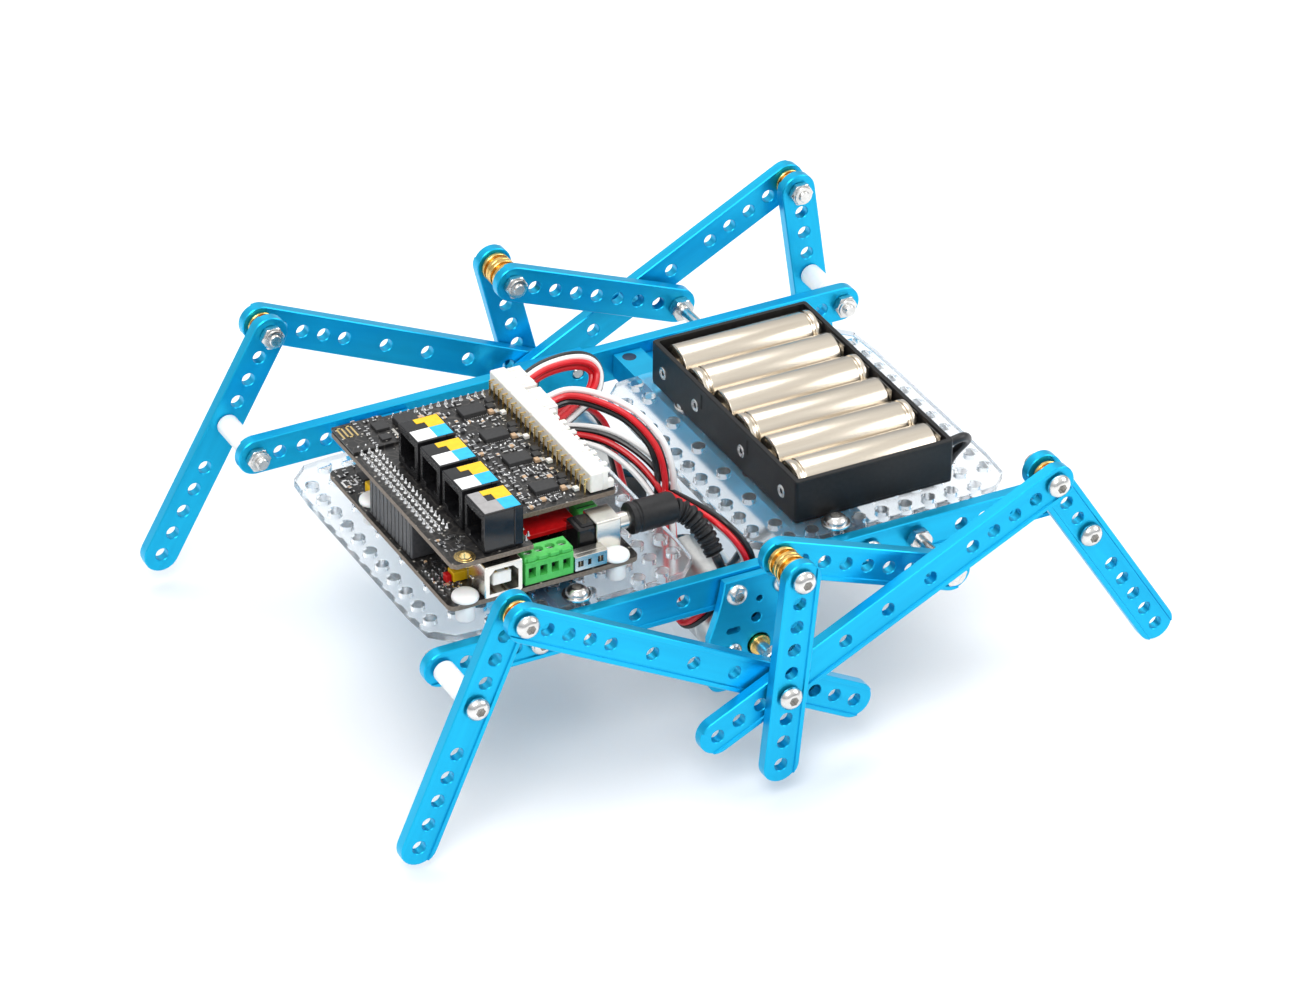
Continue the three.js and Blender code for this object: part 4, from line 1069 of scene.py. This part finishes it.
# ---------- battery ----------
x0, y0, z0, x1, y1, z1 = extent("battery_holder")
floor_z, wall = z0 + 1.6, 1.6
holder = Shape()
cavity = rectangle(x0 + wall, x1 - wall, y0 + wall, y1 - wall, 0.8)
holder.add(sheet(rectangle(x0, x1, y0, y1, 1.2), z0 + 1.0, z1, (), 0.25, 0.1, (cavity,)), 0)
holder.add(sheet(rectangle(x0 + 0.1, x1 - 0.1, y0 + 0.1, y1 - 0.1, 1.1), z0, floor_z,
    [(48, -8.5, 2), (48, 8, 2)], 0.2, 0.1), 0)
cells = [middle(f"cell_{k}") for k in range(1, 7)]
for here, there in zip(cells, cells[1:]):
    y = (here.y + there.y) / 2
    for start, stop in ((x0 + wall - 0.1, x0 + 9), (x1 - 9, x1 - wall + 0.1)):
        saddle = [(y - 2.6, floor_z - 0.1), (y + 2.6, floor_z - 0.1), (y + 1.1, floor_z + 1.6),
            (y + 0.55, floor_z + 4.2), (y - 0.55, floor_z + 4.2), (y - 1.1, floor_z + 1.6)]
        holder.add(sheet(saddle, start, stop, (), 0.1), 0, IN_YZ)
for x in (x0, x1):
    out = -1 if x == x0 else 1
    for y, kind in ((30.6, 1), (5.2, 0), (9.2, 1), (-24.6, 0), (-20.8, 1), (-46.5, 1)):
        if kind:
            at = along_x(x, y, 14.6, out)
            holder.add(turned([(2.1, -0.3), (2.1, 0.12), (1.9, 0.34), (1.4, 0.38), (1.15, 0.12),
                (0.9, 0.06)], 24), 1, at)
            # A dark disc in the rivet's middle: painted shade of its hole.
            holder.add(turned([(0.85, 0), (0.85, 0.1), (0.4, 0.14)], 16), 2, at)
        else:
            # A thin dark slab on the end wall: painted shade of a slit.
            holder.block(x - 0.06, x + 0.06, y - 0.5, y + 0.5, 15.5, 20.5, 0.02, 2)
piece("battery_holder_box", holder, [HOLDER, STEEL, PAINTED_HOLLOW_SHADE], "holder_plastic", ("battery_holder",))

contacts = Shape()
for number, centre in enumerate(cells, 1):
    at = along_x(centre.x, centre.y, centre.z, 1 if (number % 2) else -1)
    can = [(4.6, -24.2), (5.4, -24.3), (5.6, -24.9), (6.5, -24.9), (6.95, -24.6), (7.08, -24.1),
        (7.08, -23.3), (6.95, -23.0), (6.5, -22.8), (6.3, -22.4), (6.5, -22.0), (6.95, -21.8),
        (7.08, -21.4), (7.08, 23.0), (6.95, 23.4), (6.5, 23.7), (5.0, 23.8), (3.0, 23.8),
        (2.8, 24.0), (2.75, 24.8), (2.5, 24.95)]
    shape = Shape().add(turned(can, 48), 0, at)
    piece(f"cell_{number}_can", shape, [CELL], "cell_metal", (f"cell_{number}",))
    path = []
    for k in range(56):
        turn = k * 2 * math.pi / 16
        share = k / 55
        radius = 4.6 - 2.0 * share
        path.append(Vector((radius * math.cos(turn), radius * math.sin(turn), -26.2 + 1.2 * share)))
    contacts.add(swept(path, 0.32, 6), 0, at)
    contacts.block(-5, 5, -4.5, 4.5, 25.35, 25.6, 0.05, 0, at)
    contacts.block(-5, 5, -4.5, 4.5, -26.0, -25.8, 0.05, 0, at)
piece("cell_contacts", contacts, [STEEL], "steel")


# ---------- leads ----------
battery_route = [(-8.8, -59.35, 7.4), (-8.2, -60.2, 5.4), (-5.8, -59, 1.6), (0, -54, -1.4),
    (8, -46, -3.4), (18, -38, -7), (32, -32, -8.2), (50, -32, -7), (70, -38, -5), (79, -43, -0.5),
    (80, -44, 5.5), (81.5, -46, 11), (83.5, -49.5, 17), (80.5, -52, 20.2), (75.6, -52.5, 20)]
cable = Shape().add(swept(smooth_path(battery_route), 1.5, 12))
piece("battery_lead_cable", cable, [WIRE_BLACK], "lead_insulation", ("battery_lead",))

plug = Shape()
barrel = turned([(2.6, -43.4), (2.7, -43.2), (2.7, -33.4)], 24)
grip = turned([(4.4, -33.4), (5.0, -33.0), (5.0, -31.4), (4.6, -31.0), (4.6, -30.4), (5.0, -30.0),
    (5.0, -29.6), (5.0, -19.4), (4.6, -18.2), (3.6, -17.7)], 28)
plug.add(barrel, 1, along_x(0, -49, 21.5)).add(grip, 0, along_x(0, -49, 21.5))
relief_path = smooth_path([(-21, -49, 21.5), (-15, -51, 19.5), (-11, -55.5, 14), (-9, -59, 8)], 16)


def ribbed(share):
    return (3.9 - 0.9 * share) * (1.0 if (share * 11) % 1 < 0.62 else 0.8)


plug.add(swept(relief_path, ribbed, 20))
piece("power_plug_moulding", plug, [RUBBER, TIN], "black_rubber", ("power_plug",))


def bundle(name, route, offsets, colours, radius, replaces=(), spread=0.5, twist=0.4):
    """Wires that run side by side along a route. offsets: across it, sideways and upwards."""
    path = smooth_path(route, 8)
    side = Vector((0, 1, 0))
    frames = []
    for along in tangents(path):
        side = (side - along * side.dot(along)).normalized()
        frames.append((side, along.cross(side)))
    for number, ((a, b), colour) in enumerate(zip(offsets, colours)):
        moved = []
        for i, (point, (s, u)) in enumerate(zip(path, frames)):
            share = i / (len(path) - 1)
            wide = 1 + spread * math.sin(math.pi * share) ** 2
            turn = twist * share + 0.2 * math.sin(number * 2.1 + share * 5)
            c, n = math.cos(turn), math.sin(turn)
            moved.append(point + s * ((a * c - b * n) * wide) + u * ((a * n + b * c) * wide))
        shape = Shape().add(swept(moved, radius, 10))
        piece(f"{name}_wire_{number + 1}", shape, [colour], "lead_insulation",
            replaces if number == 0 else ())


NEAR_END = [(-8.6, -27, 10), (-7.5, -24, 0), (-5.5, -17, -9), (-3, -12, -16), (0, -12, -19.6),
    (0, -18, -20)]
bundle("motor_leads_near", [(-34, 4.5, 33), (-27, 2.5, 35.2), (-21, -5, 36), (-15, -15.5, 34.5),
    (-10.5, -24, 28), (-9, -27.5, 19)] + NEAR_END,
    [(1.1, 0.9), (-1.0, 0.5), (0.7, -1.7), (-1.3, -1.7)],
    [WIRE_WHITE, WIRE_RED, WIRE_BLACK, WIRE_BLACK], 1.0, ("motor_leads_near",))
bundle("motor_leads_return", [(-38, 1, 23.2), (-29, -2, 24.2), (-20, -10, 23.6),
    (-13, -19.5, 18.5)] + NEAR_END, [(2.8, 0.6), (0.9, 0.9), (-1.1, 0.5), (-3.1, 0.2), (0.2, -1.2),
    (-2.0, -1.5)], [WIRE_WHITE, WIRE_BLACK, WIRE_RED, WIRE_WHITE, WIRE_BLACK, WIRE_BLACK], 0.9)
bundle("motor_leads_loop", [(-34, 18.5, 32.8), (-27, 19, 35.2), (-19, 18.5, 36), (-13, 17.5, 34.6),
    (-10.8, 15.8, 31), (-13.5, 12.5, 27.2), (-20, 9.5, 25.4), (-29, 5, 24), (-38, 2, 23.5)],
    [(2.0, 0.7), (0.2, 1.1), (-1.8, 0.7), (1.0, -1.1), (-1.1, -1.1)],
    [WIRE_BLACK, WIRE_WHITE, WIRE_RED, WIRE_WHITE, WIRE_RED], 0.95, (), 0.3, 0.2)
bundle("motor_leads_far", [(-38, 8, 24), (-27, 11, 24.5), (-17, 14, 22), (-9, 16, 13), (-6, 14, 1),
    (-5, 10, -8), (-3, 8, -15), (0, 11.5, -19.6), (0, 18, -20)], [(1.0, 0), (-1.0, 0.3)],
    [WIRE_BLACK, WIRE_RED], 0.95, ("motor_leads_far",))
bundle("lead_loop", [(-8.8, -29, 12), (-8.8, -38, 14.5), (-7.5, -48, 16), (-5, -55.5, 15),
    (-1.5, -59.3, 10.5), (1.2, -60.6, 5), (1.5, -60.8, 0), (-2, -60.8, -4.2), (-8, -60.6, -6.5),
    (-14, -60, -12), (-17.5, -56, -15.5), (-17, -47, -12), (-13, -38, -5), (-9.5, -31, 1),
    (-8.5, -27, 5)], [(0.9, 0.9), (-1.0, 0.6), (0.7, -1.1), (-1.1, -1.2)],
    [WIRE_RED, WIRE_WHITE, WIRE_BLACK, WIRE_RED], 0.9, (), 0.1, 1.2)


# ---------- floor, light and camera ----------
floor_mesh = bpy.data.meshes.new("floor")
floor_mesh.from_pydata([(-6, -6, 0), (6, -6, 0), (6, 6, 0), (-6, 6, 0)], [], [(0, 1, 2, 3)])
floor = bpy.data.objects.new("floor", floor_mesh)
bpy.context.scene.collection.objects.link(floor)
floor.location.z = -0.0002
floor_mesh.materials.append(finish("floor_white", [(0.90, 0.905, 0.915), (0.92, 0.925, 0.935)], 3,
    (0.6, 0.7)))

world = bpy.data.worlds.new("studio")
bpy.context.scene.world = world
world.use_nodes = True
sky = world.node_tree.nodes["Background"]
direction = world.node_tree.nodes.new("ShaderNodeTexCoord")
height = world.node_tree.nodes.new("ShaderNodeSeparateXYZ")
shade = world.node_tree.nodes.new("ShaderNodeValToRGB")
world.node_tree.links.new(direction.outputs["Generated"], height.inputs["Vector"])
world.node_tree.links.new(height.outputs["Z"], shade.inputs["Fac"])
world.node_tree.links.new(shade.outputs["Color"], sky.inputs["Color"])
shade.color_ramp.elements[0].position, shade.color_ramp.elements[1].position = 0.0, 0.75
shade.color_ramp.elements[0].color = (0.42, 0.45, 0.49, 1)
shade.color_ramp.elements[1].color = (1.0, 1.0, 1.0, 1)
sky.inputs["Strength"].default_value = 1.0


def softbox(name, position, target, size, energy, colour=(1, 1, 1)):
    light = bpy.data.lights.new(name, "AREA")
    light.shape, light.size, light.energy, light.color = "DISK", size, energy, colour
    made = bpy.data.objects.new(name, light)
    bpy.context.scene.collection.objects.link(made)
    made.location = position
    made.rotation_mode = "QUATERNION"
    made.rotation_quaternion = (Vector(target) - Vector(position)).to_track_quat("-Z", "Y")


softbox("key", (-0.7, -1.0, 1.5), (0, 0, 0.03), 0.9, 14)
softbox("fill", (1.2, -0.7, 0.9), (0, 0, 0.03), 0.9, 6)
softbox("top", (0.1, 0.5, 1.6), (0, 0, 0.03), 1.2, 9)

camera = bpy.data.cameras.new("camera")
camera_object = bpy.data.objects.new("camera", camera)
bpy.context.scene.collection.objects.link(camera_object)
camera.sensor_width, camera.lens = 36, 168.06
camera.clip_start, camera.clip_end = 0.05, 50
yaw, pitch, roll = (math.radians(a) for a in (27.96, 32.32, 0.63))
forward = Vector((math.sin(yaw) * math.cos(pitch), math.cos(yaw) * math.cos(pitch),
    -math.sin(pitch)))
camera_object.location = ORIGIN + Vector((-743.97, -1401.84, 995.0)) * MM
camera_object.rotation_mode = "QUATERNION"
camera_object.rotation_quaternion = (Matrix.Rotation(-roll, 3, forward)
    @ forward.to_track_quat("-Z", "Y").to_matrix()).to_quaternion()
bpy.context.scene.camera = camera_object
bpy.context.scene.view_settings.view_transform = "Standard"
